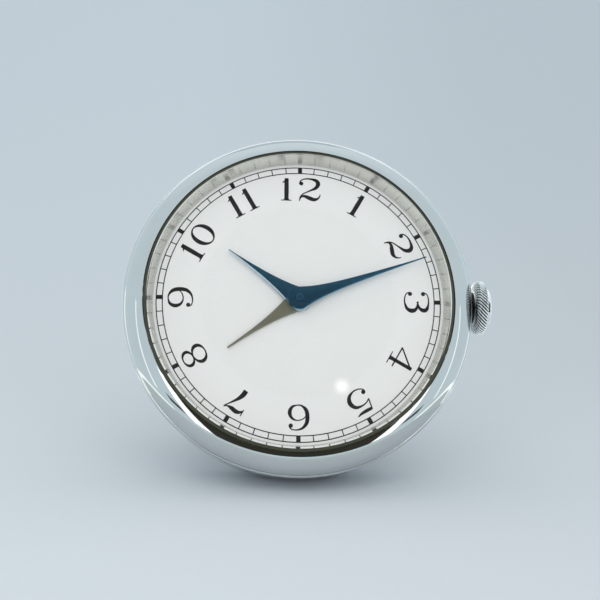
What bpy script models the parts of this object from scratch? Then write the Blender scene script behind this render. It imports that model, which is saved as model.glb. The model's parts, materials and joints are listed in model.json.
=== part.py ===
"""Round alarm desk clock that leans back on a fold-out strut.

Metres, +Z up, dial facing -Y, origin in the middle of the flat that the case stands on.
The clock is modelled lying on its back, dial up, in the frame of one empty: x to 3 o'clock,
y to 12 o'clock, z out of the dial, zero on the dial's face. The empty then leans it back.
"""
import math

import bmesh
import bpy
from mathutils import Matrix, Vector

for old_object in list(bpy.data.objects):
    bpy.data.objects.remove(old_object, do_unlink=True)

MM = 0.001

# Driving dimensions
DIAL_OPENING_RADIUS = 28.8 * MM
REHAUT_HEIGHT = 3.2 * MM
LEAN_DEGREES = 22.0
STRUT_OPEN_DEGREES = 40.0

# Time shown, as clockwise angles from 12
HOUR_DEGREES = 306.0
MINUTE_DEGREES = 70.4
ALARM_DEGREES = 234.8

# Coin cell that sets the depth of the case
BATTERY_RADIUS = 10.0 * MM
BATTERY_THICKNESS = 3.2 * MM
BATTERY_PLAY = 0.3 * MM

# Named clearances
SEAT = 0.05 * MM
FIT = 0.1 * MM
FREE = 0.2 * MM
RUN = 0.08 * MM
SEAM = 0.3 * MM
OVERRUN = 1.0 * MM
MERGE = 0.001 * MM

# Facets of round pieces
RING_STEPS = 48
PLATE_STEPS = 36
SMALL_STEPS = 20
TINY_STEPS = 12
CORNER_STEPS = 3
SMOOTH_DEGREES = 35.0

# Rehaut, crystal and its gasket
REHAUT_SPREAD = 1.0 * MM
REHAUT_LAND = 0.3 * MM
CRYSTAL_EDGE = 0.75 * MM
CRYSTAL_CHAMFER = 0.3 * MM
CRYSTAL_RISE = 0.45 * MM
DOME_SHARES = (0.35, 0.7)
GASKET_WIDTH = 0.55 * MM
GASKET_HEIGHT = 0.35 * MM

# Bezel
LIP_HEIGHT = 3.7 * MM
LIP_CHAMFER = 0.1 * MM
BAND_WIDTH = 3.7 * MM
BAND_DROP = 3.35 * MM
BAND_TURN_DEGREES = 55.0
BEAD_DROP = 1.35 * MM
BEAD_RETURN = 0.35 * MM
BEAD_TURN_DEGREES = 150.0
BAND_STEPS = 6
BEAD_STEPS = 5

# Case body
NECK_WALL = 1.2 * MM
NECK_DROP = 0.25 * MM
CASE_INSET = 0.1 * MM
BARREL_INSET = 0.15 * MM
BARREL_LENGTH = 9.7 * MM
BARREL_TURN_DEGREES = 6.0
BACK_ROUNDING = 5.9 * MM
BACK_TURN_DEGREES = 80.0
BARREL_STEPS = 2
BACK_STEPS = 7
LEDGE_THICKNESS = 1.65 * MM
LEDGE_WIDTH = 4.1 * MM
BACK_RIM = 1.8 * MM
FOOT_FLAT_DEPTH = 0.45 * MM

# Dial and hands
DIAL_THICKNESS = 0.4 * MM
HAND_HUB_RADIUS = 2.43 * MM
HAND_TIP_HALF_WIDTH = 0.1 * MM
HAND_THICKNESS = 0.3 * MM
HAND_STEPS = 9
STATION_POWER = 1.5
ALARM_HAND_LENGTH = 17.5 * MM
HOUR_HAND_LENGTH = 17.3 * MM
MINUTE_HAND_LENGTH = 27.0 * MM
ALARM_HAND_POWER = 1.85
HOUR_HAND_POWER = 1.7
MINUTE_HAND_POWER = 2.8
ALARM_HAND_HEIGHT = 0.6 * MM
HAND_LIFT = 0.6 * MM
CAP_RADIUS = 0.75 * MM
CAP_HEIGHT = 0.6 * MM
CAP_TURN_DEGREES = 50.0

# Pipes and arbors of the hands, from the middle out
ARBOR_RADIUS = 0.7 * MM
PIVOT_RADIUS = 0.4 * MM
PIPE_WALL = 0.37 * MM
PIPE_TOP_SHOW = 0.05 * MM

# Wheels
MOTION_DISTANCE = 7.2 * MM
CANNON_TEETH = 12
MINUTE_WHEEL_TEETH = 36
MINUTE_PINION_TEETH = 10
HOUR_WHEEL_TEETH = 40
ALARM_WHEEL_TEETH = 45
SETTING_WHEEL_TEETH = 15
CLUTCH_TEETH = 6
SETTING_DISTANCE = 10.0 * MM
MINUTE_WHEEL_CLOCK_DEGREES = 180.0
ADDENDUM_SHARE = 0.85
DEDENDUM_SHARE = 1.15
TOOTH_ROOT_SHARE = 0.28
TOOTH_TIP_SHARE = 0.11
WHEEL_THICKNESS = 0.6 * MM
CANNON_FACE = 0.8 * MM
WHEEL_GAP = 0.4 * MM
PINION_GAP = 0.8 * MM
STUD_RADIUS = 0.5 * MM

# Movement plates, pillars and the ring that holds them
FRONT_PLATE_THICKNESS = 1.0 * MM
REAR_PLATE_THICKNESS = 1.0 * MM
REAR_PLATE_INSET = 0.8 * MM
PILLAR_INSET = 2.6 * MM
PILLAR_RADIUS = 1.2 * MM
PILLAR_COUNT = 4
PILLAR_START_DEGREES = 45.0
RING_SHELL = 1.8 * MM
RING_SHOULDER = 3.1 * MM
RING_SHOULDER_DEPTH = 6.5 * MM

# Motor, circuit and sound
COIL_RADIUS = 2.0 * MM
COIL_LENGTH = 12.0 * MM
COIL_CORE_RADIUS = 0.7 * MM
COIL_OFFSET = 15.5 * MM
STATOR_THICKNESS = 0.8 * MM
STATOR_LEG = 3.0 * MM
STATOR_REACH = 8.0 * MM
ROTOR_RADIUS = 1.3 * MM
ROTOR_OFFSET_X = 4.0 * MM
ROTOR_OFFSET_Y = 8.5 * MM
ROTOR_GAP = 0.4 * MM
ROTOR_THICKNESS = 1.4 * MM
MOTOR_DROP = 1.5 * MM
BOARD_THICKNESS = 1.0 * MM
BOARD_WIDTH = 34.0 * MM
BOARD_HEIGHT = 30.0 * MM
BOARD_CORNER = 4.0 * MM
BUZZER_RADIUS = 5.0 * MM
BUZZER_THICKNESS = 0.5 * MM
BUZZER_MARGIN = 0.5 * MM
BUZZER_DEGREES = 137.4
SOUND_HOLE_RADIUS = 0.6 * MM
SOUND_HOLE_CIRCLE = 2.4 * MM
SOUND_HOLE_COUNT = 5

# Battery, its tray and hatch
BATTERY_MARGIN = 1.7 * MM
TRAY_WALL = 1.0 * MM
TRAY_FLOOR = 0.9 * MM
CONTACT_RADIUS = 3.0 * MM
CONTACT_THICKNESS = 0.3 * MM
HATCH_THICKNESS = 1.6 * MM
HATCH_LUG_WIDTH = 6.0 * MM
HATCH_LUG_THICKNESS = 0.4 * MM
HATCH_LUG_REACH = 1.0 * MM
HATCH_LUG_CLEARANCE = 0.15 * MM
HATCH_TURN_DEGREES = 50.0
COIN_SLOT_LENGTH = 14.0 * MM
COIN_SLOT_WIDTH = 1.6 * MM
COIN_SLOT_DEPTH = 0.6 * MM

# Case back, its gasket and screws
BACK_GASKET_WIDTH = 0.7 * MM
SCREW_CIRCLE_INSET = 2.0 * MM
SCREW_SHANK_RADIUS = 0.6 * MM
SCREW_HEAD_RADIUS = 1.2 * MM
SCREW_HEAD_HEIGHT = 0.6 * MM
SCREW_LENGTH = 2.6 * MM
SCREW_COUNT = 4
SCREW_START_DEGREES = 45.0
SCREW_SLOT_DEGREES = 30.0
SCREW_SLOT_WIDTH = 0.35 * MM
SCREW_SLOT_DEPTH = 0.25 * MM

# Alarm switch in the back
SWITCH_MARGIN = 6.3 * MM
SWITCH_DEGREES = 33.7
SWITCH_TRAVEL = 3.0 * MM
SWITCH_LENGTH = 2.6 * MM
SWITCH_WIDTH = 1.8 * MM
SWITCH_PROUD = 0.7 * MM
SWITCH_FLANGE = 0.8 * MM
SWITCH_FLANGE_THICKNESS = 0.5 * MM

# Crown, stem and tube
STEM_DROP = 1.0 * MM
STEM_RADIUS = 0.6 * MM
STEM_GROOVE_RADIUS = 0.4 * MM
DETENT_PLACE_SHARE = 0.3273
DETENT_THICKNESS = 0.8 * MM
DETENT_WIDTH = 3.0 * MM
DETENT_HEIGHT = 1.2 * MM
DETENT_DEPTH = 2.9 * MM
TUBE_RADIUS = 1.2 * MM
CROWN_STANDOFF = 0.55 * MM
CROWN_RADIUS = 5.45 * MM
CROWN_WIDTH = 2.6 * MM
CROWN_ROUNDING = 0.5 * MM
CROWN_RIDGES = 48
CROWN_RIDGE_DEPTH = 0.2 * MM
CROWN_TWIST_DEGREES = 24.0
CROWN_SECTION_SHARES = (0.0, 0.14, 0.5, 0.86, 1.0)
CROWN_ROUNDING_SHARES = (1.0, 0.25, 0.0, 0.25, 1.0)
BOSS_RADIUS = 3.95 * MM
BOSS_HEIGHT = 1.1 * MM
CLUTCH_RADIUS = 1.3 * MM
CLUTCH_LENGTH = 3.0 * MM
PRONG_INNER_RADIUS = 0.7 * MM
PRONG_WIDTH = 0.3 * MM
PRONG_ENGAGE = 0.25 * MM

# Strut, bracket and pin on the back
HINGE_INSET = 10.3 * MM
STRUT_THICKNESS = 1.6 * MM
STRUT_WIDTH = 20.0 * MM
STRUT_FOOT_WIDTH = 14.0 * MM
STRUT_CORNER = 3.0 * MM
STRUT_NECK = 2.6 * MM
STRUT_SHOULDER_TURN_DEGREES = 60.0
STRUT_FOOT_TURN_DEGREES = 80.0
KNUCKLE_LENGTH = 12.0 * MM
KNUCKLE_RADIUS = 1.6 * MM
PIN_RADIUS = 0.8 * MM
PIN_HEAD_RADIUS = 1.1 * MM
PIN_HEAD_LENGTH = 0.5 * MM
EAR_THICKNESS = 2.0 * MM
EAR_REACH = 1.8 * MM
BRACKET_BASE = 1.0 * MM
BRACKET_HEIGHT = 6.0 * MM
BRACKET_SCREW_INSET = 1.8 * MM
FOOT_PAD_WALL = 0.5 * MM
FOOT_PAD_LENGTH = 3.0 * MM

# Radii worked out from the dial outwards
rehaut_top_radius = DIAL_OPENING_RADIUS + REHAUT_SPREAD
rehaut_outer_radius = rehaut_top_radius + REHAUT_LAND
crystal_radius = rehaut_top_radius + SEAT
gasket_inner_radius = crystal_radius + SEAT
gasket_outer_radius = gasket_inner_radius + GASKET_WIDTH
lip_radius = gasket_outer_radius + SEAT
case_bore_radius = rehaut_outer_radius + FREE
neck_outer_radius = case_bore_radius + NECK_WALL
bezel_bore_radius = neck_outer_radius + FIT
crease_radius = lip_radius + BAND_WIDTH
bead_end_radius = crease_radius + BEAD_RETURN
case_radius = bead_end_radius - CASE_INSET
barrel_end_radius = case_radius - BARREL_INSET
back_edge_radius = barrel_end_radius - BACK_ROUNDING
back_recess_radius = back_edge_radius - BACK_RIM
back_plate_radius = back_recess_radius - SEAM
ledge_inner_radius = back_recess_radius - LEDGE_WIDTH
movement_ring_radius = case_bore_radius - FREE
ring_inner_radius = movement_ring_radius - RING_SHELL
front_plate_radius = ring_inner_radius - FREE
shoulder_radius = ring_inner_radius - RING_SHOULDER
rear_plate_radius = shoulder_radius - REAR_PLATE_INSET
pillar_circle_radius = rear_plate_radius - PILLAR_INSET
screw_circle_radius = back_recess_radius - SCREW_CIRCLE_INSET
tray_inner_radius = BATTERY_RADIUS + BATTERY_PLAY
tray_outer_radius = tray_inner_radius + TRAY_WALL
hatch_radius = tray_outer_radius - FIT
battery_y = tray_outer_radius + BATTERY_MARGIN - ledge_inner_radius
tube_bore_radius = STEM_RADIUS + FIT
foot_pad_thickness = STRUT_THICKNESS + 2.0 * FOOT_PAD_WALL

# Heights worked out from the dial's face, negative behind it
crystal_bottom = REHAUT_HEIGHT + SEAT
neck_top = REHAUT_HEIGHT - NECK_DROP
lip_bottom = neck_top + FIT
crease_height = LIP_HEIGHT - BAND_DROP
bezel_bottom = crease_height - BEAD_DROP
case_shoulder = bezel_bottom - SEAM
barrel_end = case_shoulder - BARREL_LENGTH
front_plate_top = -DIAL_THICKNESS - SEAM
front_plate_bottom = front_plate_top - FRONT_PLATE_THICKNESS
alarm_wheel_top = front_plate_bottom - FREE
alarm_wheel_bottom = alarm_wheel_top - WHEEL_THICKNESS
hour_wheel_top = alarm_wheel_bottom - WHEEL_GAP
hour_wheel_bottom = hour_wheel_top - WHEEL_THICKNESS
minute_wheel_top = hour_wheel_bottom - PINION_GAP
minute_wheel_bottom = minute_wheel_top - WHEEL_THICKNESS
stem_height = alarm_wheel_top - WHEEL_THICKNESS / 2.0 - STEM_DROP
motor_height = minute_wheel_bottom - MOTOR_DROP
rear_plate_top = motor_height - COIL_RADIUS - FREE
rear_plate_bottom = rear_plate_top - REAR_PLATE_THICKNESS
board_bottom = rear_plate_bottom - SEAM - BOARD_THICKNESS
tray_top = board_bottom - SEAM
tray_floor_bottom = tray_top - TRAY_FLOOR
contact_top = tray_floor_bottom - SEAT
battery_top = contact_top - CONTACT_THICKNESS - SEAT
battery_bottom = battery_top - BATTERY_THICKNESS
back_face = battery_bottom - BATTERY_PLAY - HATCH_THICKNESS
lug_top = battery_bottom - HATCH_LUG_CLEARANCE
back_plate_inner = lug_top - HATCH_LUG_THICKNESS - FREE
back_plate_thickness = back_plate_inner - back_face
ledge_bottom = back_plate_inner + 2.0 * FREE
ledge_top = ledge_bottom + LEDGE_THICKNESS
cannon_middle = minute_wheel_top - WHEEL_THICKNESS / 2.0
alarm_hand_middle = ALARM_HAND_HEIGHT
hour_hand_middle = alarm_hand_middle + HAND_LIFT
minute_hand_middle = hour_hand_middle + HAND_LIFT

# Pipes around the arbor
hour_pipe_bore = ARBOR_RADIUS + RUN
hour_pipe_radius = hour_pipe_bore + PIPE_WALL
alarm_pipe_bore = hour_pipe_radius + RUN
alarm_pipe_radius = alarm_pipe_bore + PIPE_WALL
centre_hole_radius = alarm_pipe_radius + 2.0 * FREE
stud_bore_radius = STUD_RADIUS + RUN

# Wheel sizes
motion_module = 2.0 * MOTION_DISTANCE / (CANNON_TEETH + MINUTE_WHEEL_TEETH)
hour_module = 2.0 * MOTION_DISTANCE / (MINUTE_PINION_TEETH + HOUR_WHEEL_TEETH)
setting_module = 2.0 * SETTING_DISTANCE / (ALARM_WHEEL_TEETH + SETTING_WHEEL_TEETH)
setting_wheel_radius = setting_module * SETTING_WHEEL_TEETH / 2.0
prong_tip_x = SETTING_DISTANCE + setting_wheel_radius - PRONG_ENGAGE
clutch_face_x = SETTING_DISTANCE + setting_wheel_radius + setting_module * ADDENDUM_SHARE + FREE
clutch_end = clutch_face_x + CLUTCH_LENGTH
stem_groove_x = clutch_end + DETENT_PLACE_SHARE * (shoulder_radius - clutch_end)

# Hinge of the strut
hinge_gap = KNUCKLE_RADIUS + SEAM
hinge_y = back_plate_radius - HINGE_INSET
hinge_z = back_face - hinge_gap


def arc_points(start, end, turn_degrees, count):
    """Points on a round arc between two profile points, turning by so many degrees on the way."""
    turn = math.radians(turn_degrees)
    chord = Vector(end) - Vector(start)
    radius = chord.length / (2.0 * math.sin(turn / 2.0))
    heading = math.atan2(chord.y, chord.x) - turn / 2.0
    points = []
    for step in range(count + 1):
        angle = heading + turn * step / count
        across = radius * (math.sin(angle) - math.sin(heading))
        along = radius * (math.cos(heading) - math.cos(angle))
        points.append((start[0] + across, start[1] + along))
    return points


def bezel_profile():
    """Section of the bezel, from the lip over the convex band and the bead to the bore."""
    lip_corner = (lip_radius + LIP_CHAMFER, LIP_HEIGHT)
    crease = (crease_radius, crease_height)
    bead_end = (bead_end_radius, bezel_bottom)
    points = [(lip_radius, LIP_HEIGHT - LIP_CHAMFER)]
    points += arc_points(lip_corner, crease, -BAND_TURN_DEGREES, BAND_STEPS)
    points += arc_points(crease, bead_end, -BEAD_TURN_DEGREES, BEAD_STEPS)[1:]
    points += [(bezel_bore_radius, bezel_bottom), (bezel_bore_radius, lip_bottom), (lip_radius, lip_bottom)]
    return points


def case_outer_profile():
    """Outer side of the case body, from its shoulder under the bezel to the flat back edge."""
    shoulder = (case_radius, case_shoulder)
    barrel = (barrel_end_radius, barrel_end)
    back_edge = (back_edge_radius, back_face)
    points = arc_points(shoulder, barrel, -BARREL_TURN_DEGREES, BARREL_STEPS)
    points += arc_points(barrel, back_edge, -BACK_TURN_DEGREES, BACK_STEPS)[1:]
    return points


def lowest_point():
    """Profile point of the case that touches the ground first when the clock leans back."""
    lean = math.radians(LEAN_DEGREES)

    def reach(point):
        return point[0] * math.cos(lean) - point[1] * math.sin(lean)

    touch = max(case_outer_profile(), key=reach)
    return touch, reach(touch)


def new_collection(name):
    collection = bpy.data.collections.new(name)
    bpy.context.scene.collection.children.link(collection)
    return collection


PARTS = new_collection("desk_clock")
CUTTERS = new_collection("cutters")


def new_material(name, colour, metallic, roughness):
    material = bpy.data.materials.new(name)
    material.use_nodes = True
    shader = material.node_tree.nodes["Principled BSDF"]
    shader.inputs["Base Color"].default_value = (*colour, 1.0)
    shader.inputs["Metallic"].default_value = metallic
    shader.inputs["Roughness"].default_value = roughness
    return material


STEEL = ((0.72, 0.74, 0.76), 1.0, 0.12)
BRUSHED = ((0.62, 0.63, 0.64), 1.0, 0.35)
BRASS = ((0.78, 0.6, 0.3), 1.0, 0.3)
BLUED = ((0.012, 0.05, 0.1), 0.8, 0.25)
OLIVE = ((0.16, 0.15, 0.1), 0.3, 0.4)
WHITE = ((0.82, 0.83, 0.82), 0.0, 0.45)
GLASS = ((0.9, 0.95, 0.95), 0.0, 0.03)
RUBBER = ((0.03, 0.03, 0.03), 0.0, 0.7)
GREEN = ((0.02, 0.15, 0.06), 0.0, 0.5)
COPPER = ((0.7, 0.3, 0.15), 1.0, 0.35)
PLASTIC = ((0.05, 0.05, 0.055), 0.0, 0.5)


def empty(name, parent, location, x_degrees):
    """An empty that carries other pieces, turned about its x axis."""
    holder = bpy.data.objects.new(name, None)
    PARTS.objects.link(holder)
    holder.parent = parent
    holder.location = location
    holder.rotation_euler = (math.radians(x_degrees), 0.0, 0.0)
    return holder


def adopt(piece, name, finish, parent, location=(0.0, 0.0, 0.0), rotation=(0.0, 0.0, 0.0)):
    """Name a new object, give it its material, and set it in its parent's frame."""
    for collection in list(piece.users_collection):
        collection.objects.unlink(piece)
    PARTS.objects.link(piece)
    piece.name = name
    piece.data.name = name
    piece.data.materials.clear()
    piece.data.materials.append(new_material(name, *finish))
    piece.parent = parent
    piece.location = location
    piece.rotation_euler = [math.radians(angle) for angle in rotation]
    return piece


def soften(piece, degrees=SMOOTH_DEGREES):
    """Smooth shading on round sides, sharp at corners."""
    piece.data.shade_smooth()
    piece.data.set_sharp_from_angle(angle=math.radians(degrees))
    return piece


def turned(name, profile, finish, parent, location=(0.0, 0.0, 0.0), rotation=(0.0, 0.0, 0.0),
           steps=RING_STEPS):
    """A piece turned about its z axis from a profile of (radius, height) points.

    The profile runs down the outer side; it closes on itself where it doesn't reach the axis.
    """
    mesh = bpy.data.meshes.new(name)
    edges = [(index, index + 1) for index in range(len(profile) - 1)]
    if min(point[0] for point in profile) > 0.0:
        edges.append((len(profile) - 1, 0))
    mesh.from_pydata([(radius, 0.0, height) for radius, height in profile], edges, [])
    piece = bpy.data.objects.new(name, mesh)
    bpy.context.scene.collection.objects.link(piece)
    adopt(piece, name, finish, parent, location, rotation)
    screw = piece.modifiers.new("Turned", "SCREW")
    screw.axis = "Z"
    screw.angle = 2.0 * math.pi
    screw.steps = steps
    screw.render_steps = steps
    screw.use_merge_vertices = True
    screw.merge_threshold = MERGE
    screw.use_smooth_shade = True
    return piece


def tube_profile(outer, inner, top, bottom):
    return [(inner, top), (outer, top), (outer, bottom), (inner, bottom)]


def prism(name, outlines, thickness, finish, parent, location=(0.0, 0.0, 0.0), rotation=(0.0, 0.0, 0.0)):
    """A flat plate from closed outlines; inner outlines are holes. Its middle plane is z = 0."""
    curve = bpy.data.curves.new(name, "CURVE")
    curve.dimensions = "2D"
    curve.fill_mode = "BOTH"
    curve.extrude = thickness / 2.0
    for outline in outlines:
        spline = curve.splines.new("POLY")
        spline.points.add(len(outline) - 1)
        for point, (across, up) in zip(spline.points, outline):
            point.co = (across, up, 0.0, 1.0)
        spline.use_cyclic_u = True
    drawing = bpy.data.objects.new(name + "_outline", curve)
    bpy.context.scene.collection.objects.link(drawing)
    bpy.context.view_layer.update()
    graph = bpy.context.evaluated_depsgraph_get()
    mesh = bpy.data.meshes.new_from_object(drawing.evaluated_get(graph))
    welded = bmesh.new()
    welded.from_mesh(mesh)
    bmesh.ops.remove_doubles(welded, verts=welded.verts, dist=MERGE)
    bmesh.ops.recalc_face_normals(welded, faces=welded.faces)
    welded.to_mesh(mesh)
    welded.free()
    piece = bpy.data.objects.new(name, mesh)
    bpy.context.scene.collection.objects.link(piece)
    bpy.data.objects.remove(drawing, do_unlink=True)
    return adopt(piece, name, finish, parent, location, rotation)


def rod(name, radius, length, finish, parent, location=(0.0, 0.0, 0.0), rotation=(0.0, 0.0, 0.0),
        steps=SMALL_STEPS):
    """A cylinder along its own z axis, its middle at the location."""
    bpy.ops.mesh.primitive_cylinder_add(vertices=steps, radius=radius, depth=length)
    return soften(adopt(bpy.context.active_object, name, finish, parent, location, rotation))


def box(name, size, finish, parent, location=(0.0, 0.0, 0.0), rotation=(0.0, 0.0, 0.0)):
    bpy.ops.mesh.primitive_cube_add(size=1.0)
    piece = bpy.context.active_object
    piece.data.transform(Matrix.Diagonal((*size, 1.0)))
    return adopt(piece, name, finish, parent, location, rotation)


def hide_tool(piece):
    """Move a cutter or a joined-in shape out of the model."""
    for collection in list(piece.users_collection):
        collection.objects.unlink(piece)
    CUTTERS.objects.link(piece)
    piece.hide_render = True
    piece.display_type = "WIRE"
    return piece


def combine(piece, tool, operation):
    hide_tool(tool)
    boolean = piece.modifiers.new(operation.title(), "BOOLEAN")
    boolean.operation = operation
    boolean.object = tool
    boolean.solver = "EXACT"
    return piece


def cut(piece, tool):
    return combine(piece, tool, "DIFFERENCE")


def join(piece, tool):
    return combine(piece, tool, "UNION")


def polar(radius, degrees):
    angle = math.radians(degrees)
    return (radius * math.cos(angle), radius * math.sin(angle))


def circle_outline(radius, steps, centre=(0.0, 0.0)):
    points = [polar(radius, 360.0 * step / steps) for step in range(steps)]
    return [(centre[0] + across, centre[1] + up) for across, up in points]


def rounded_outline(width, height, corner, corner_steps=CORNER_STEPS):
    """A rectangle about the origin with round corners."""
    points = []
    corners = ((1, 1, 0.0), (-1, 1, 90.0), (-1, -1, 180.0), (1, -1, 270.0))
    for side, end, start in corners:
        middle = (side * (width / 2.0 - corner), end * (height / 2.0 - corner))
        for step in range(corner_steps + 1):
            across, up = polar(corner, start + 90.0 * step / corner_steps)
            points.append((middle[0] + across, middle[1] + up))
    return points


def gear_outline(teeth, module, tooth_degrees):
    """Straight-sided teeth, one of them pointing to the given angle."""
    tip = module * (teeth / 2.0 + ADDENDUM_SHARE)
    root = module * (teeth / 2.0 - DEDENDUM_SHARE)
    pitch = 360.0 / teeth
    points = []
    for tooth in range(teeth):
        middle = tooth_degrees + pitch * tooth
        points.append(polar(root, middle - TOOTH_ROOT_SHARE * pitch))
        points.append(polar(tip, middle - TOOTH_TIP_SHARE * pitch))
        points.append(polar(tip, middle + TOOTH_TIP_SHARE * pitch))
        points.append(polar(root, middle + TOOTH_ROOT_SHARE * pitch))
    return points


def hand_outline(length, power):
    """A round hub that flares into a long fine point along +y."""
    def half_width(distance):
        left = 1.0 - distance / length
        return HAND_TIP_HALF_WIDTH + (HAND_HUB_RADIUS - HAND_TIP_HALF_WIDTH) * left ** power

    stations = [length * (step / HAND_STEPS) ** STATION_POWER for step in range(HAND_STEPS + 1)]
    right = [(half_width(distance), distance) for distance in stations]
    left = [(-half_width(distance), distance) for distance in reversed(stations)]
    hub = [polar(HAND_HUB_RADIUS, 180.0 + 180.0 * step / TINY_STEPS) for step in range(1, TINY_STEPS)]
    return right + left + hub


def clock_to_angle(clock_degrees):
    """A clockwise angle from 12 as a mathematical angle from 3 o'clock."""
    return 90.0 - clock_degrees


def at_clock(radius, clock_degrees):
    return polar(radius, clock_to_angle(clock_degrees))


# The frames that carry the pieces
(touch_radius, touch_height), case_reach = lowest_point()
lean_angle = math.radians(LEAN_DEGREES)
centre_height = case_reach - FOOT_FLAT_DEPTH
centre_y = touch_radius * math.sin(lean_angle) + touch_height * math.cos(lean_angle)
CLOCK = empty("clock_axis", None, (0.0, centre_y, centre_height), 90.0 - LEAN_DEGREES)
STEM_AXIS = empty("stem_axis", CLOCK, (0.0, 0.0, stem_height), 0.0)
HINGE = empty("strut_hinge", CLOCK, (0.0, hinge_y, hinge_z), STRUT_OPEN_DEGREES)

hinge_height = centre_height + hinge_y * math.cos(lean_angle) + hinge_z * math.sin(lean_angle)
strut_slope = math.radians(STRUT_OPEN_DEGREES - LEAN_DEGREES)
strut_length = hinge_height / math.cos(strut_slope)


def ground_cutter(name):
    """A block whose top is the ground, to cut standing faces flat."""
    depth = -back_face
    size = (4.0 * case_radius, 4.0 * case_radius, depth)
    return box(name, size, STEEL, None, (0.0, 0.0, -depth / 2.0))


def make_case():
    outer = case_outer_profile()
    profile = [
        (case_bore_radius, neck_top),
        (neck_outer_radius, neck_top),
        (neck_outer_radius, case_shoulder),
        *outer,
        (back_recess_radius, back_face),
        (back_recess_radius, ledge_bottom),
        (ledge_inner_radius, ledge_bottom),
        (ledge_inner_radius, ledge_top),
        (case_bore_radius, ledge_top),
    ]
    body = turned("case_body", profile, STEEL, CLOCK)
    hole_length = case_radius - case_bore_radius + 2.0 * OVERRUN
    hole_x = (case_radius + case_bore_radius) / 2.0
    hole = rod("tube_hole", TUBE_RADIUS + SEAT, hole_length, STEEL, STEM_AXIS, (hole_x, 0.0, 0.0),
               (0.0, 90.0, 0.0))
    cut(body, hole)
    for number in range(SCREW_COUNT):
        cut(body, screw_hole("ledge_hole_%d" % number, number, SCREW_SHANK_RADIUS + SEAT))
    cut(body, ground_cutter("case_ground"))
    turned("bezel", bezel_profile(), STEEL, CLOCK)


def screw_place(number):
    return polar(screw_circle_radius, SCREW_START_DEGREES + 360.0 * number / SCREW_COUNT)


def screw_hole(name, number, radius, top=ledge_top, bottom=back_face):
    """A cutter along a back screw, through what lies between two heights."""
    across, up = screw_place(number)
    length = top - bottom + 2.0 * OVERRUN
    return rod(name, radius, length, STEEL, CLOCK, (across, up, (top + bottom) / 2.0), steps=TINY_STEPS)


def make_glass():
    edge_top = crystal_bottom + CRYSTAL_EDGE
    dome_edge = (crystal_radius - CRYSTAL_CHAMFER, edge_top + CRYSTAL_CHAMFER)
    dome_top = edge_top + CRYSTAL_CHAMFER + CRYSTAL_RISE
    dome = [(0.0, dome_top)]
    for share in DOME_SHARES:
        dome.append((dome_edge[0] * share, dome_top - CRYSTAL_RISE * share ** 2))
    edge = [dome_edge, (crystal_radius, edge_top), (crystal_radius, crystal_bottom), (0.0, crystal_bottom)]
    profile = dome + edge
    turned("crystal", profile, GLASS, CLOCK)
    gasket_top = crystal_bottom + GASKET_HEIGHT
    ring = tube_profile(gasket_outer_radius, gasket_inner_radius, gasket_top, crystal_bottom)
    turned("crystal_gasket", ring, OLIVE, CLOCK)
    rehaut = [
        (rehaut_top_radius, REHAUT_HEIGHT),
        (rehaut_outer_radius, REHAUT_HEIGHT),
        (rehaut_outer_radius, FIT),
        (DIAL_OPENING_RADIUS, FIT),
    ]
    turned("rehaut_ring", rehaut, STEEL, CLOCK)


def make_dial():
    disc = tube_profile(movement_ring_radius, centre_hole_radius, 0.0, -DIAL_THICKNESS)
    turned("dial", disc, WHITE, CLOCK, steps=PLATE_STEPS)


def make_hand(name, length, power, middle, clock_degrees, bore, finish):
    outlines = [hand_outline(length, power), circle_outline(bore, TINY_STEPS)]
    turn = clock_to_angle(clock_degrees) - 90.0
    return prism(name, outlines, HAND_THICKNESS, finish, CLOCK, (0.0, 0.0, middle), (0.0, 0.0, turn))


def make_hands():
    make_hand("alarm_hand", ALARM_HAND_LENGTH, ALARM_HAND_POWER, alarm_hand_middle, ALARM_DEGREES,
              alarm_pipe_radius + SEAT, OLIVE)
    make_hand("hour_hand", HOUR_HAND_LENGTH, HOUR_HAND_POWER, hour_hand_middle, HOUR_DEGREES,
              hour_pipe_radius + SEAT, BLUED)
    make_hand("minute_hand", MINUTE_HAND_LENGTH, MINUTE_HAND_POWER, minute_hand_middle, MINUTE_DEGREES,
              ARBOR_RADIUS + SEAT, BLUED)
    base = minute_hand_middle + HAND_THICKNESS / 2.0 + SEAT
    waist = base + CAP_HEIGHT / 2.0
    top = base + CAP_HEIGHT
    profile = [(0.0, top)] + arc_points((CAP_RADIUS / 2.0, top), (CAP_RADIUS, waist), -CAP_TURN_DEGREES, 2)
    profile += [(CAP_RADIUS, base), (0.0, base)]
    turned("hand_cap", profile, STEEL, CLOCK, steps=SMALL_STEPS)


def wheel_with_pipe(name, teeth, module, tooth_degrees, middle, pipe_radius, pipe_bore, pipe_top, finish):
    """A toothed wheel on a pipe that runs up to its hand."""
    outlines = [gear_outline(teeth, module, tooth_degrees), circle_outline(pipe_bore, SMALL_STEPS)]
    wheel = prism(name, outlines, WHEEL_THICKNESS, finish, CLOCK, (0.0, 0.0, middle))
    pipe_bottom = middle + WHEEL_THICKNESS / 4.0
    sleeve = tube_profile(pipe_radius, pipe_bore, pipe_top, pipe_bottom)
    pipe = turned(name + "_pipe", sleeve, finish, CLOCK, steps=SMALL_STEPS)
    return join(wheel, pipe)


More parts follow.
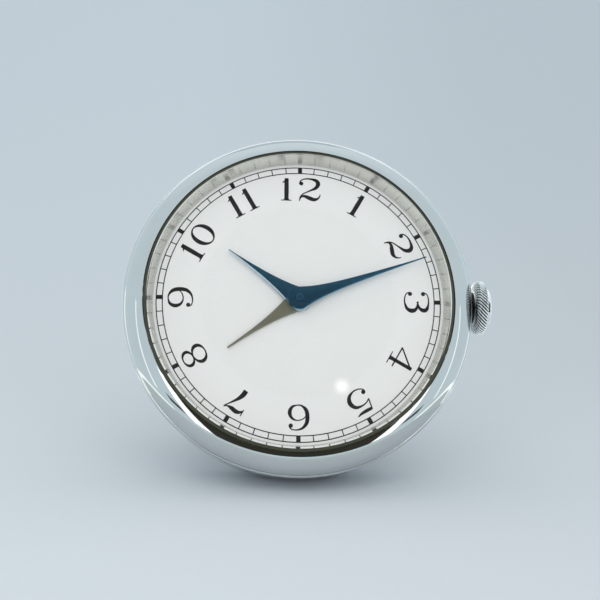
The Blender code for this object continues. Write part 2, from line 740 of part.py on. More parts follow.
def make_motion_work():
    wheel_angle = clock_to_angle(MINUTE_WHEEL_CLOCK_DEGREES)
    post = polar(MOTION_DISTANCE, wheel_angle)
    alarm_middle = alarm_wheel_top - WHEEL_THICKNESS / 2.0
    hour_middle = hour_wheel_top - WHEEL_THICKNESS / 2.0
    alarm_top = alarm_hand_middle + HAND_THICKNESS / 2.0 + PIPE_TOP_SHOW
    hour_top = hour_hand_middle + HAND_THICKNESS / 2.0 + PIPE_TOP_SHOW
    wheel_with_pipe("alarm_wheel", ALARM_WHEEL_TEETH, setting_module, 0.0, alarm_middle,
                    alarm_pipe_radius, alarm_pipe_bore, alarm_top, BRASS)
    wheel_with_pipe("hour_wheel", HOUR_WHEEL_TEETH, hour_module, wheel_angle, hour_middle,
                    hour_pipe_radius, hour_pipe_bore, hour_top, BRASS)

    cannon = prism("cannon_arbor", [gear_outline(CANNON_TEETH, motion_module, wheel_angle)], CANNON_FACE,
                   STEEL, CLOCK, (0.0, 0.0, cannon_middle))
    arbor_top = minute_hand_middle + HAND_THICKNESS / 2.0
    pivot_bottom = rear_plate_bottom + SEAT
    shaft = [
        (0.0, arbor_top),
        (ARBOR_RADIUS, arbor_top),
        (ARBOR_RADIUS, cannon_middle - CANNON_FACE),
        (PIVOT_RADIUS, cannon_middle - CANNON_FACE),
        (PIVOT_RADIUS, pivot_bottom),
        (0.0, pivot_bottom),
    ]
    join(cannon, turned("cannon_shaft", shaft, STEEL, CLOCK, steps=SMALL_STEPS))

    gap_angle = wheel_angle + 180.0
    wheel_teeth = gear_outline(MINUTE_WHEEL_TEETH, motion_module, gap_angle + 180.0 / MINUTE_WHEEL_TEETH)
    bore = circle_outline(stud_bore_radius, TINY_STEPS)
    wheel = prism("minute_wheel", [wheel_teeth, bore], WHEEL_THICKNESS, BRASS, CLOCK,
                  (*post, minute_wheel_top - WHEEL_THICKNESS / 2.0))
    pinion_teeth = gear_outline(MINUTE_PINION_TEETH, hour_module, gap_angle + 180.0 / MINUTE_PINION_TEETH)
    pinion_bottom = minute_wheel_top - WHEEL_THICKNESS / 2.0
    pinion_length = hour_wheel_top - pinion_bottom
    pinion = prism("minute_pinion", [pinion_teeth, bore], pinion_length, BRASS, CLOCK,
                   (*post, pinion_bottom + pinion_length / 2.0))
    join(wheel, pinion)
    stud_top = alarm_wheel_bottom - FREE
    stud_bottom = rear_plate_top + SEAT
    rod("minute_wheel_stud", STUD_RADIUS, stud_top - stud_bottom, STEEL, CLOCK,
        (*post, (stud_top + stud_bottom) / 2.0), steps=TINY_STEPS)


def make_setting_work():
    middle = alarm_wheel_top - WHEEL_THICKNESS / 2.0
    teeth = gear_outline(SETTING_WHEEL_TEETH, setting_module, 0.0)
    bore = circle_outline(stud_bore_radius, TINY_STEPS)
    prism("setting_wheel", [teeth, bore], WHEEL_THICKNESS, BRASS, CLOCK, (SETTING_DISTANCE, 0.0, middle))
    stud_top = front_plate_bottom - SEAT
    stud_bottom = alarm_wheel_bottom - FREE
    rod("setting_wheel_stud", STUD_RADIUS, stud_top - stud_bottom, STEEL, CLOCK,
        (SETTING_DISTANCE, 0.0, (stud_top + stud_bottom) / 2.0), steps=TINY_STEPS)

    sleeve = tube_profile(CLUTCH_RADIUS, STEM_RADIUS + SEAT, clutch_end, clutch_face_x)
    clutch = turned("clutch_pinion", sleeve, STEEL, STEM_AXIS, rotation=(0.0, 90.0, 0.0), steps=SMALL_STEPS)
    prong_length = clutch_face_x - prong_tip_x + FREE
    prong_depth = CLUTCH_RADIUS - PRONG_INNER_RADIUS - SEAT
    prong_circle = (CLUTCH_RADIUS - SEAT + PRONG_INNER_RADIUS) / 2.0
    for number in range(CLUTCH_TEETH):
        degrees = 360.0 * (number + 0.5) / CLUTCH_TEETH
        across, up = polar(prong_circle, 90.0 - degrees)
        prong = box("prong_%d" % number, (prong_length, PRONG_WIDTH, prong_depth), STEEL, STEM_AXIS,
                    (prong_tip_x + prong_length / 2.0, across, up), (-degrees, 0.0, 0.0))
        join(clutch, prong)


def fluted_section(radius, ridge_depth, twist_degrees, x):
    """One ring of a knurled barrel: a point on each ridge and one in each valley."""
    points = []
    for step in range(2 * CROWN_RIDGES):
        here = radius - ridge_depth * (step % 2)
        across, up = polar(here, twist_degrees + 180.0 * step / CROWN_RIDGES)
        points.append((x, across, up))
    return points


def make_crown():
    """Crown along +x from the case: slanted ridges round a barrel, and a smooth end."""
    start = crease_radius + BEAD_RETURN + CROWN_STANDOFF + SEAM
    shaped = bmesh.new()
    rings = []
    for share, rounding in zip(CROWN_SECTION_SHARES, CROWN_ROUNDING_SHARES):
        radius = CROWN_RADIUS - CROWN_ROUNDING * rounding
        place = start + CROWN_WIDTH * share
        section = fluted_section(radius, CROWN_RIDGE_DEPTH, CROWN_TWIST_DEGREES * share, place)
        rings.append([shaped.verts.new(point) for point in section])
    count = 2 * CROWN_RIDGES
    for near, far in zip(rings, rings[1:]):
        for index in range(count):
            following = (index + 1) % count
            shaped.faces.new((near[index], near[following], far[following], far[index]))
    shaped.faces.new(rings[0])
    shaped.faces.new(rings[-1])
    bmesh.ops.recalc_face_normals(shaped, faces=shaped.faces)
    mesh = bpy.data.meshes.new("crown")
    shaped.to_mesh(mesh)
    shaped.free()
    crown = bpy.data.objects.new("crown", mesh)
    bpy.context.scene.collection.objects.link(crown)
    adopt(crown, "crown", STEEL, STEM_AXIS)
    end = start + CROWN_WIDTH
    rim = BOSS_RADIUS - CROWN_ROUNDING / 2.0
    boss = [
        (0.0, end + BOSS_HEIGHT),
        (rim, end + BOSS_HEIGHT),
        (BOSS_RADIUS, end + BOSS_HEIGHT - CROWN_ROUNDING / 2.0),
        (BOSS_RADIUS, end - SEAM),
        (0.0, end - SEAM),
    ]
    join(crown, turned("crown_boss", boss, STEEL, STEM_AXIS, rotation=(0.0, 90.0, 0.0), steps=PLATE_STEPS))
    socket_depth = CROWN_WIDTH / 2.0
    socket = rod("crown_socket", TUBE_RADIUS + FREE, socket_depth + OVERRUN, STEEL, STEM_AXIS,
                 (start + (socket_depth - OVERRUN) / 2.0, 0.0, 0.0), (0.0, 90.0, 0.0))
    cut(crown, socket)

    stem_inner = clutch_face_x
    stem_outer = start + socket_depth - SEAT
    groove_end = stem_groove_x + DETENT_THICKNESS + 2.0 * FIT
    stem = [
        (0.0, stem_outer),
        (STEM_RADIUS, stem_outer),
        (STEM_RADIUS, groove_end),
        (STEM_GROOVE_RADIUS, groove_end),
        (STEM_GROOVE_RADIUS, stem_groove_x),
        (STEM_RADIUS, stem_groove_x),
        (STEM_RADIUS, stem_inner),
        (0.0, stem_inner),
    ]
    turned("stem", stem, STEEL, STEM_AXIS, rotation=(0.0, 90.0, 0.0), steps=SMALL_STEPS)

    fork_middle = DETENT_DEPTH / 2.0 - STEM_GROOVE_RADIUS - DETENT_HEIGHT
    fork_x = stem_groove_x + FIT + DETENT_THICKNESS / 2.0
    detent = box("stem_detent", (DETENT_THICKNESS, DETENT_WIDTH, DETENT_DEPTH), STEEL, STEM_AXIS,
                 (fork_x, 0.0, fork_middle))
    slot_width = 2.0 * (STEM_GROOVE_RADIUS + RUN)
    slot = box("detent_slot", (DETENT_THICKNESS + 2.0 * OVERRUN, slot_width, DETENT_DEPTH), STEEL, STEM_AXIS,
               (fork_x, 0.0, DETENT_DEPTH / 2.0 - STEM_GROOVE_RADIUS - RUN))
    cut(detent, slot)

    tube_inner = case_bore_radius + FIT
    tube_outer = start + socket_depth - FREE
    sleeve = tube_profile(TUBE_RADIUS, tube_bore_radius, tube_outer, tube_inner)
    turned("crown_tube", sleeve, STEEL, STEM_AXIS, rotation=(0.0, 90.0, 0.0), steps=SMALL_STEPS)


def make_plates():
    front_middle = (front_plate_top + front_plate_bottom) / 2.0
    rear_middle = (rear_plate_top + rear_plate_bottom) / 2.0
    front = [circle_outline(front_plate_radius, PLATE_STEPS), circle_outline(centre_hole_radius, SMALL_STEPS)]
    prism("front_plate", front, FRONT_PLATE_THICKNESS, BRASS, CLOCK, (0.0, 0.0, front_middle))
    rotor_hole = circle_outline(PIVOT_RADIUS + RUN, TINY_STEPS, rotor_place())
    rear = [
        circle_outline(rear_plate_radius, PLATE_STEPS),
        circle_outline(PIVOT_RADIUS + RUN, TINY_STEPS),
        rotor_hole,
    ]
    prism("rear_plate", rear, REAR_PLATE_THICKNESS, BRASS, CLOCK, (0.0, 0.0, rear_middle))
    top = front_plate_bottom - SEAT
    bottom = rear_plate_top + SEAT
    for number in range(PILLAR_COUNT):
        across, up = polar(pillar_circle_radius, PILLAR_START_DEGREES + 360.0 * number / PILLAR_COUNT)
        rod("pillar_%d" % (number + 1), PILLAR_RADIUS, top - bottom, BRASS, CLOCK,
            (across, up, (top + bottom) / 2.0), steps=TINY_STEPS)

    ring_top = -DIAL_THICKNESS - FIT
    shoulder_top = front_plate_bottom - FIT
    profile = [
        (ring_inner_radius, ring_top),
        (movement_ring_radius, ring_top),
        (movement_ring_radius, ledge_top + FIT),
        (ring_inner_radius, ledge_top + FIT),
        (ring_inner_radius, -RING_SHOULDER_DEPTH),
        (shoulder_radius, -RING_SHOULDER_DEPTH),
        (shoulder_radius, shoulder_top),
        (ring_inner_radius, shoulder_top),
    ]
    ring = turned("movement_ring", profile, PLASTIC, CLOCK, steps=PLATE_STEPS)
    hole_length = movement_ring_radius - shoulder_radius + 2.0 * OVERRUN
    hole_x = (movement_ring_radius + shoulder_radius) / 2.0
    hole = rod("stem_passage", STEM_RADIUS + FREE, hole_length, STEEL, STEM_AXIS, (hole_x, 0.0, 0.0),
               (0.0, 90.0, 0.0), steps=TINY_STEPS)
    cut(ring, hole)


def rotor_place():
    return (-ROTOR_OFFSET_X, ROTOR_OFFSET_Y)


def make_motor():
    """Coil on its core, the stator plate round the rotor, and the rotor."""
    coil_sleeve = tube_profile(COIL_RADIUS, COIL_CORE_RADIUS + FIT, COIL_LENGTH / 2.0, -COIL_LENGTH / 2.0)
    turned("coil", coil_sleeve, COPPER, CLOCK, (0.0, COIL_OFFSET, motor_height), (0.0, 90.0, 0.0),
           steps=SMALL_STEPS)
    leg_x = COIL_LENGTH / 2.0 + STATOR_LEG / 2.0 + SEAM
    leg_top = COIL_OFFSET + STATOR_LEG / 2.0
    leg_bottom = ROTOR_OFFSET_Y - STATOR_LEG
    inner_x = leg_x - STATOR_LEG / 2.0
    outer_x = leg_x + STATOR_LEG / 2.0
    inner_top = ROTOR_OFFSET_Y + STATOR_LEG
    outline = [
        (-outer_x, leg_top),
        (-outer_x, leg_bottom),
        (outer_x, leg_bottom),
        (outer_x, leg_top),
        (inner_x, leg_top),
        (inner_x, inner_top),
        (-inner_x, inner_top),
        (-inner_x, leg_top),
    ]
    hole = circle_outline(ROTOR_RADIUS + ROTOR_GAP, SMALL_STEPS, rotor_place())
    stator = prism("stator", [outline, hole], STATOR_THICKNESS, BRUSHED, CLOCK, (0.0, 0.0, motor_height))
    core_length = 2.0 * inner_x + STATOR_LEG
    core = rod("coil_core", COIL_CORE_RADIUS, core_length, BRUSHED, CLOCK, (0.0, COIL_OFFSET, motor_height),
               (0.0, 90.0, 0.0), steps=TINY_STEPS)
    join(stator, core)

    arbor_top = front_plate_bottom - FREE
    arbor_bottom = rear_plate_bottom + SEAT
    magnet_top = motor_height + ROTOR_THICKNESS / 2.0
    magnet_bottom = magnet_top - ROTOR_THICKNESS
    profile = [
        (0.0, arbor_top),
        (PIVOT_RADIUS, arbor_top),
        (PIVOT_RADIUS, magnet_top),
        (ROTOR_RADIUS, magnet_top),
        (ROTOR_RADIUS, magnet_bottom),
        (PIVOT_RADIUS, magnet_bottom),
        (PIVOT_RADIUS, arbor_bottom),
        (0.0, arbor_bottom),
    ]
    turned("rotor", profile, BRUSHED, CLOCK, (*rotor_place(), 0.0), steps=TINY_STEPS)


def make_electronics():
    board = rounded_outline(BOARD_WIDTH, BOARD_HEIGHT, BOARD_CORNER)
    board_middle = board_bottom + BOARD_THICKNESS / 2.0
    prism("circuit_board", [board], BOARD_THICKNESS, GREEN, CLOCK, (0.0, 0.0, board_middle))

    tray = [
        (0.0, tray_top),
        (tray_outer_radius, tray_top),
        (tray_outer_radius, battery_bottom),
        (tray_inner_radius, battery_bottom),
        (tray_inner_radius, tray_floor_bottom),
        (0.0, tray_floor_bottom),
    ]
    turned("battery_tray", tray, PLASTIC, CLOCK, (0.0, battery_y, 0.0), steps=PLATE_STEPS)
    rod("battery_contact", CONTACT_RADIUS, CONTACT_THICKNESS, BRASS, CLOCK,
        (0.0, battery_y, contact_top - CONTACT_THICKNESS / 2.0))
    rod("battery", BATTERY_RADIUS, BATTERY_THICKNESS, BRUSHED, CLOCK,
        (0.0, battery_y, battery_top - BATTERY_THICKNESS / 2.0), steps=PLATE_STEPS)
    rod("buzzer", BUZZER_RADIUS, BUZZER_THICKNESS, BRASS, CLOCK,
        (*buzzer_place(), back_plate_inner + SEAT + BUZZER_THICKNESS / 2.0))


def buzzer_place():
    return polar(ledge_inner_radius - BUZZER_RADIUS - BUZZER_MARGIN, BUZZER_DEGREES)


def switch_place():
    return polar(ledge_inner_radius - SWITCH_MARGIN, SWITCH_DEGREES)


def make_back():
    """Case back with its gasket, screws, battery hatch and alarm switch."""
    outlines = [
        circle_outline(back_plate_radius, PLATE_STEPS),
        circle_outline(hatch_radius + FREE, PLATE_STEPS, (0.0, battery_y)),
    ]
    for number in range(SCREW_COUNT):
        outlines.append(circle_outline(SCREW_SHANK_RADIUS + SEAT, TINY_STEPS, screw_place(number)))
    for number in range(SOUND_HOLE_COUNT):
        across, up = polar(SOUND_HOLE_CIRCLE, 90.0 + 360.0 * number / SOUND_HOLE_COUNT)
        middle = (buzzer_place()[0] + across, buzzer_place()[1] + up)
        outlines.append(circle_outline(SOUND_HOLE_RADIUS, TINY_STEPS, middle))
    switch_x, switch_y = switch_place()
    slot_width = SWITCH_WIDTH + 2.0 * FREE
    slot_length = SWITCH_LENGTH + SWITCH_TRAVEL + 2.0 * FREE
    slot_middle = switch_y + SWITCH_TRAVEL / 2.0
    slot = [(switch_x + across, slot_middle + up) for across, up in
            rounded_outline(slot_width, slot_length, FREE, 1)]
    outlines.append(slot)
    middle = (back_face + back_plate_inner) / 2.0
    back = prism("case_back", outlines, back_plate_thickness, BRUSHED, CLOCK, (0.0, 0.0, middle))
    lug_length = 2.0 * (hatch_radius + HATCH_LUG_REACH)
    notch_size = (lug_length + 2.0 * FREE, HATCH_LUG_WIDTH + 2.0 * FREE, back_plate_thickness + 2.0 * OVERRUN)
    notch = box("lug_notches", notch_size, STEEL, CLOCK, (0.0, battery_y, middle),
                (0.0, 0.0, -HATCH_TURN_DEGREES))
    cut(back, notch)

    gasket_outer = back_recess_radius - FREE
    gasket_inner = gasket_outer - BACK_GASKET_WIDTH
    ring = tube_profile(gasket_outer, gasket_inner, ledge_bottom - SEAT, back_plate_inner + SEAT)
    turned("back_gasket", ring, RUBBER, CLOCK, steps=PLATE_STEPS)

    for number in range(SCREW_COUNT):
        across, up = screw_place(number)
        head_top = back_face - SEAT
        make_screw("back_screw_%d" % (number + 1), (across, up, head_top))

    hatch = rod("battery_hatch", hatch_radius, HATCH_THICKNESS, BRUSHED, CLOCK,
                (0.0, battery_y, back_face + HATCH_THICKNESS / 2.0), steps=PLATE_STEPS)
    lug_middle = lug_top - HATCH_LUG_THICKNESS / 2.0
    lug = box("hatch_lugs", (lug_length, HATCH_LUG_WIDTH, HATCH_LUG_THICKNESS), BRUSHED, CLOCK,
              (0.0, battery_y, lug_middle))
    join(hatch, lug)
    slot = box("coin_slot", (COIN_SLOT_LENGTH, COIN_SLOT_WIDTH, 2.0 * COIN_SLOT_DEPTH), STEEL, CLOCK,
               (0.0, battery_y, back_face))
    cut(hatch, slot)

    knob_top = back_plate_inner + FREE + SWITCH_FLANGE_THICKNESS
    knob_bottom = back_face - SWITCH_PROUD
    knob = box("alarm_switch", (SWITCH_WIDTH, SWITCH_LENGTH, knob_top - knob_bottom), PLASTIC, CLOCK,
               (switch_x, switch_y, (knob_top + knob_bottom) / 2.0))
    flange_width = SWITCH_WIDTH + 2.0 * SWITCH_FLANGE
    flange_size = (flange_width, SWITCH_LENGTH + 2.0 * SWITCH_FLANGE, SWITCH_FLANGE_THICKNESS)
    flange = box("switch_flange", flange_size, PLASTIC, CLOCK,
                 (switch_x, switch_y, knob_top - SWITCH_FLANGE_THICKNESS / 2.0))
    join(knob, flange)


def make_screw(name, head_base, shank_length=SCREW_LENGTH):
    """A slotted screw whose shank runs into the clock from the back; head_base is under its head."""
    head_bottom = -SCREW_HEAD_HEIGHT
    profile = [
        (0.0, shank_length),
        (SCREW_SHANK_RADIUS, shank_length),
        (SCREW_SHANK_RADIUS, 0.0),
        (SCREW_HEAD_RADIUS, 0.0),
        (SCREW_HEAD_RADIUS, head_bottom),
        (0.0, head_bottom),
    ]
    screw = turned(name, profile, STEEL, CLOCK, head_base, steps=TINY_STEPS)
    across, up, height = head_base
    slot_size = (2.0 * SCREW_HEAD_RADIUS + OVERRUN, SCREW_SLOT_WIDTH, 2.0 * SCREW_SLOT_DEPTH)
    slot = box(name + "_slot", slot_size, STEEL, CLOCK, (across, up, height + head_bottom),
               (0.0, 0.0, SCREW_SLOT_DEGREES))
    return cut(screw, slot)


def make_bracket():
    """Two ears on a base plate, screwed to the case back above the strut."""
    ear_inner = KNUCKLE_LENGTH / 2.0 + SEAM
    ear_outer = ear_inner + EAR_THICKNESS
    seat = back_face - SEAT
    base_bottom = seat - BRACKET_BASE
    base_low = hinge_y + KNUCKLE_RADIUS + SEAM + SEAM
    base_high = base_low + BRACKET_HEIGHT
    base_middle = (base_low + base_high) / 2.0
    bracket = box("strut_bracket", (2.0 * ear_outer, BRACKET_HEIGHT, BRACKET_BASE), BRUSHED, CLOCK,
                  (0.0, base_middle, seat - BRACKET_BASE / 2.0))
    ear_tip = hinge_z - EAR_REACH
    ear_low = hinge_y - EAR_REACH
    for side, word in ((1.0, "right"), (-1.0, "left")):
        outline = [
            (ear_low, seat),
            (ear_low, hinge_z - EAR_REACH / 2.0),
            (ear_low + EAR_REACH / 2.0, ear_tip),
            (hinge_y + EAR_REACH / 2.0, ear_tip),
            (base_high, base_bottom),
            (base_high, seat),
        ]
        middle = side * (ear_inner + ear_outer) / 2.0
        ear = prism("ear_" + word, [outline], EAR_THICKNESS, BRUSHED, CLOCK, (middle, 0.0, 0.0),
                    (90.0, 0.0, 90.0))
        join(bracket, ear)
    bore_length = 2.0 * ear_outer + 2.0 * OVERRUN
    bore = rod("bracket_bore", PIN_RADIUS + SEAT, bore_length, STEEL, CLOCK, (0.0, hinge_y, hinge_z),
               (0.0, 90.0, 0.0))
    cut(bracket, bore)
    shank = BRACKET_BASE + back_plate_thickness
    for side, number in ((1.0, 1), (-1.0, 2)):
        place = (side * (ear_inner - BRACKET_SCREW_INSET), base_middle)
        hole_length = BRACKET_BASE + back_plate_thickness + 2.0 * OVERRUN
        for target, word in ((bracket, "bracket"), (bpy.data.objects["case_back"], "back")):
            hole = rod("%s_screw_hole_%d" % (word, number), SCREW_SHANK_RADIUS + SEAT, hole_length, STEEL,
                       CLOCK, (*place, back_face), steps=TINY_STEPS)
            cut(target, hole)
        make_screw("bracket_screw_%d" % number, (*place, base_bottom - SEAT), shank)

    pin_length = 2.0 * (ear_outer + SEAM)
    pin = rod("hinge_pin", PIN_RADIUS, pin_length, STEEL, CLOCK, (0.0, hinge_y, hinge_z), (0.0, 90.0, 0.0))
    for side, word in ((1.0, "right"), (-1.0, "left")):
        head_x = side * (ear_outer + SEAT + PIN_HEAD_LENGTH / 2.0)
        head = rod("pin_head_" + word, PIN_HEAD_RADIUS, PIN_HEAD_LENGTH, STEEL, CLOCK,
                   (head_x, hinge_y, hinge_z), (0.0, 90.0, 0.0))
        join(pin, head)


def strut_outline():
    """Plate seen flat: narrow at the knuckle, wide shoulders, tapering to a round foot."""
    half_neck = KNUCKLE_LENGTH / 2.0
    half_wide = STRUT_WIDTH / 2.0
    half_foot = STRUT_FOOT_WIDTH / 2.0
    shoulder = -KNUCKLE_RADIUS - STRUT_NECK
    foot = -strut_length + FOOT_PAD_LENGTH / 2.0
    right = [(half_neck, heel_length()), (half_neck, shoulder + STRUT_CORNER / 2.0)]
    right += arc_points((half_wide - STRUT_CORNER / 2.0, shoulder + STRUT_CORNER / 2.0),
                        (half_wide, shoulder - STRUT_CORNER), -STRUT_SHOULDER_TURN_DEGREES, CORNER_STEPS)
    right += arc_points((half_foot, foot + STRUT_CORNER), (half_foot - STRUT_CORNER, foot),
                        -STRUT_FOOT_TURN_DEGREES, CORNER_STEPS)
    left = [(-across, up) for across, up in reversed(right)]
    return right + left


def heel_length():
    """How far the strut reaches past its pin, so that its heel stops on the case back when open."""
    opened = math.radians(STRUT_OPEN_DEGREES)
    room = hinge_gap - FIT
    return (room - STRUT_THICKNESS / 2.0 * math.cos(opened)) / math.sin(opened)


def make_strut():
    strut = prism("strut", [strut_outline()], STRUT_THICKNESS, BRUSHED, HINGE)
    knuckle = rod("knuckle", KNUCKLE_RADIUS, KNUCKLE_LENGTH, BRUSHED, HINGE, rotation=(0.0, 90.0, 0.0))
    join(strut, knuckle)
    bore = rod("knuckle_bore", PIN_RADIUS + RUN, KNUCKLE_LENGTH + 2.0 * OVERRUN, STEEL, HINGE,
               rotation=(0.0, 90.0, 0.0))
    cut(strut, bore)
    foot_width = STRUT_FOOT_WIDTH - STRUT_CORNER
    pad_middle = -strut_length + FOOT_PAD_LENGTH / 2.0 - foot_pad_thickness / 2.0
    pad_size = (foot_width, FOOT_PAD_LENGTH + foot_pad_thickness, foot_pad_thickness)
    pad = box("strut_foot", pad_size, RUBBER, HINGE, (0.0, pad_middle, 0.0))
    pocket_size = (STRUT_FOOT_WIDTH + OVERRUN, strut_length / 2.0, STRUT_THICKNESS + 2.0 * SEAT)
    pocket_bottom = -strut_length + FOOT_PAD_LENGTH / 2.0 - SEAT
    pocket = box("foot_pocket", pocket_size, STEEL, HINGE, (0.0, pocket_bottom + strut_length / 4.0, 0.0))
    cut(pad, pocket)
    cut(pad, ground_cutter("foot_ground"))


make_case()
make_glass()
make_dial()
make_hands()
make_motion_work()
make_setting_work()
make_crown()
make_plates()
make_motor()
make_electronics()
make_back()
make_bracket()
make_strut()


def report_place(word, holder, point=(0.0, 0.0, 0.0)):
    place = holder.matrix_world @ Vector(point)
    print("%s at (%.6f, %.6f, %.6f)" % (word, *place))


bpy.context.view_layer.update()
report_place("dial centre", CLOCK)
report_place("stem axis", STEM_AXIS)
report_place("strut hinge", HINGE)
report_place("minute wheel", CLOCK, (*at_clock(MOTION_DISTANCE, MINUTE_WHEEL_CLOCK_DEGREES), 0.0))
report_place("setting wheel", CLOCK, (SETTING_DISTANCE, 0.0, 0.0))
report_place("rotor", CLOCK, (*rotor_place(), 0.0))
report_place("hatch", CLOCK, (0.0, battery_y, back_face))
report_place("strut foot", HINGE, (0.0, -strut_length, 0.0))
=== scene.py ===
import json
import math

import bmesh
import bpy
from mathutils import Matrix, Vector


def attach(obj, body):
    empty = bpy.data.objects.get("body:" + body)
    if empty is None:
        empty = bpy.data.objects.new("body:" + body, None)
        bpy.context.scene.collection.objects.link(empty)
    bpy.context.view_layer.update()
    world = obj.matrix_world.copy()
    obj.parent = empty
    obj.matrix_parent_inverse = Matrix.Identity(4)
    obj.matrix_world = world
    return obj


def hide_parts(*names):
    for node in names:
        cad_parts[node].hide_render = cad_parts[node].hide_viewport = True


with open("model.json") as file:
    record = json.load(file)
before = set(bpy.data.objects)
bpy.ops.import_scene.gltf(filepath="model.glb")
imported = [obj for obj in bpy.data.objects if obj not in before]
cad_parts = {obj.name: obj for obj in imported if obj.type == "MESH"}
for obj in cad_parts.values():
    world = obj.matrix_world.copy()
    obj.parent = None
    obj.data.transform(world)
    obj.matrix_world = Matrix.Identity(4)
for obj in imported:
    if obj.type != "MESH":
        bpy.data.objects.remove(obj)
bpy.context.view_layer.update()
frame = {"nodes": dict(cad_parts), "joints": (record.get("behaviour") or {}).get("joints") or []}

scene = bpy.context.scene

MM = 0.001

# Clearances shared by the pieces, as the parts are built
SEAT = 0.05 * MM
FIT = 0.1 * MM
FREE = 0.2 * MM
SEAM = 0.3 * MM
MERGE = 0.0005 * MM

# Facets of round pieces
RING_STEPS = 256
PLATE_STEPS = 128
SMALL_STEPS = 48
TINY_STEPS = 24
CURVE_STEPS = 8
CORNER_STEPS = 6
SLOT_CORNER_STEPS = 3
ROUNDING_STEPS = 4
DOME_STEPS = 24
BAND_STEPS = 32
BEAD_STEPS = 24
BARREL_STEPS = 6
BACK_STEPS = 28
CAP_STEPS = 8
EAR_ROUND_STEPS = 8
EAR_SLOPE_STEPS = 6
PIN_STEPS = 5
STRUT_STEPS = 12
SHARP_DEGREES = 32.0

# Glass and the rings round it
REHAUT_HEIGHT = 3.2 * MM
DIAL_OPENING_RADIUS = 28.8 * MM
REHAUT_SPREAD = 1.0 * MM
REHAUT_LAND = 0.3 * MM
CRYSTAL_EDGE = 0.75 * MM
CRYSTAL_CHAMFER = 0.3 * MM
CRYSTAL_RISE = 0.45 * MM
GASKET_WIDTH = 0.55 * MM
GASKET_HEIGHT = 0.35 * MM

# Bezel
LIP_HEIGHT = 3.7 * MM
LIP_CHAMFER = 0.1 * MM
BAND_WIDTH = 3.95 * MM
BAND_DROP = 3.35 * MM
BAND_TURN_DEGREES = 55.0
BEAD_DROP = 1.35 * MM
BEAD_RETURN = 0.1 * MM
BEAD_TURN_DEGREES = 120.0
CREASE_DEPTH = 0.09 * MM
CREASE_WIDTH = 0.11 * MM

# Case body
NECK_WALL = 1.2 * MM
NECK_DROP = 0.25 * MM
CASE_INSET = 0.1 * MM
BARREL_INSET = 0.15 * MM
BARREL_LENGTH = 9.7 * MM
BARREL_TURN_DEGREES = 6.0
BACK_ROUNDING = 5.9 * MM
BACK_TURN_DEGREES = 80.0
LEDGE_WIDTH = 4.1 * MM
LEDGE_THICKNESS = 1.65 * MM
BACK_RIM = 1.8 * MM

# Dial, its cut pattern and its printing
DIAL_THICKNESS = 0.4 * MM
HOBNAIL_RADIUS = 19.7 * MM
HOBNAIL_PITCH = 0.6 * MM
HOBNAIL_HEIGHT = 0.04 * MM
HOBNAIL_TURN_DEGREES = 45.0
HOBNAIL_FLOOR = 0.2 * MM
TRACK_RADIUS = 28.2 * MM
TRACK_WIDTH = 1.22 * MM
TRACK_LINE = 0.2 * MM
TICK_LINE = 0.19 * MM
HOUR_BLOCK = 0.84 * MM
INK_HEIGHT = 0.02 * MM
NUMERAL_RADIUS = 23.45 * MM
NUMERAL_HEIGHT = 4.95 * MM
NUMERAL_WEIGHT = 1.12
HOURS = 12
MINUTES = 60

# Hands
HAND_HUB_RADIUS = 2.43 * MM
HAND_THICKNESS = 0.3 * MM
HAND_STEPS = 36
HAND_CROWDING = 1.5
HAND_EDGE_INSET = 0.8
ALARM_HAND_LENGTH = 17.15 * MM
HOUR_HAND_LENGTH = 17.3 * MM
MINUTE_HAND_LENGTH = 27.0 * MM
ALARM_HAND_SHAPE = (0.19 * MM, 0.63 * MM, 3.2)
HOUR_HAND_SHAPE = (0.16 * MM, 1.12 * MM, 3.9)
MINUTE_HAND_SHAPE = (0.1 * MM, 1.08 * MM, 6.6)
BLADE_TAPER = 1.25
ALARM_HAND_HEIGHT = 0.6 * MM
HAND_LIFT = 0.6 * MM
HOUR_DEGREES = 304.6
MINUTE_DEGREES = 70.4
ALARM_DEGREES = 234.3
HAND_SLOPE = 0.14 * MM
HAND_SLOPE_SHARE = 0.6
HAND_DEEPER = 0.15 * MM
CAP_RADIUS = 0.75 * MM
CAP_HEIGHT = 0.6 * MM
CAP_TURN_DEGREES = 70.0
ARBOR_RADIUS = 0.7 * MM
PIPE_STEP = 0.45 * MM

# Crown and its tube
CROWN_RADIUS = 5.45 * MM
CROWN_WIDTH = 2.25 * MM
CROWN_ROUNDING = 0.5 * MM
CROWN_SHOULDER = 0.95 * MM
CROWN_SHOULDER_OUT = 2.2 * MM
CROWN_RIDGES = 48
CROWN_RIDGE_DEPTH = 0.36 * MM
CROWN_RIDGE_STEPS = 10
CROWN_RIDGE_POWER = 0.8
CROWN_EDGE_STEPS = 7
CROWN_BARREL_STEPS = 10
# How light the crown's bore and back face are painted: low values are painted shade where the crown
# faces the case
CROWN_BORE_PAINTED_LIGHT = 0.1
CROWN_BACK_PAINTED_LIGHT = 0.12
CROWN_TWIST_DEGREES = 24.0
CROWN_STANDOFF = 0.55 * MM
BOSS_RADIUS = 3.95 * MM
BOSS_HEIGHT = 0.9 * MM
BOSS_STEPS = 5
TUBE_RADIUS = 1.2 * MM
STEM_RADIUS = 0.6 * MM

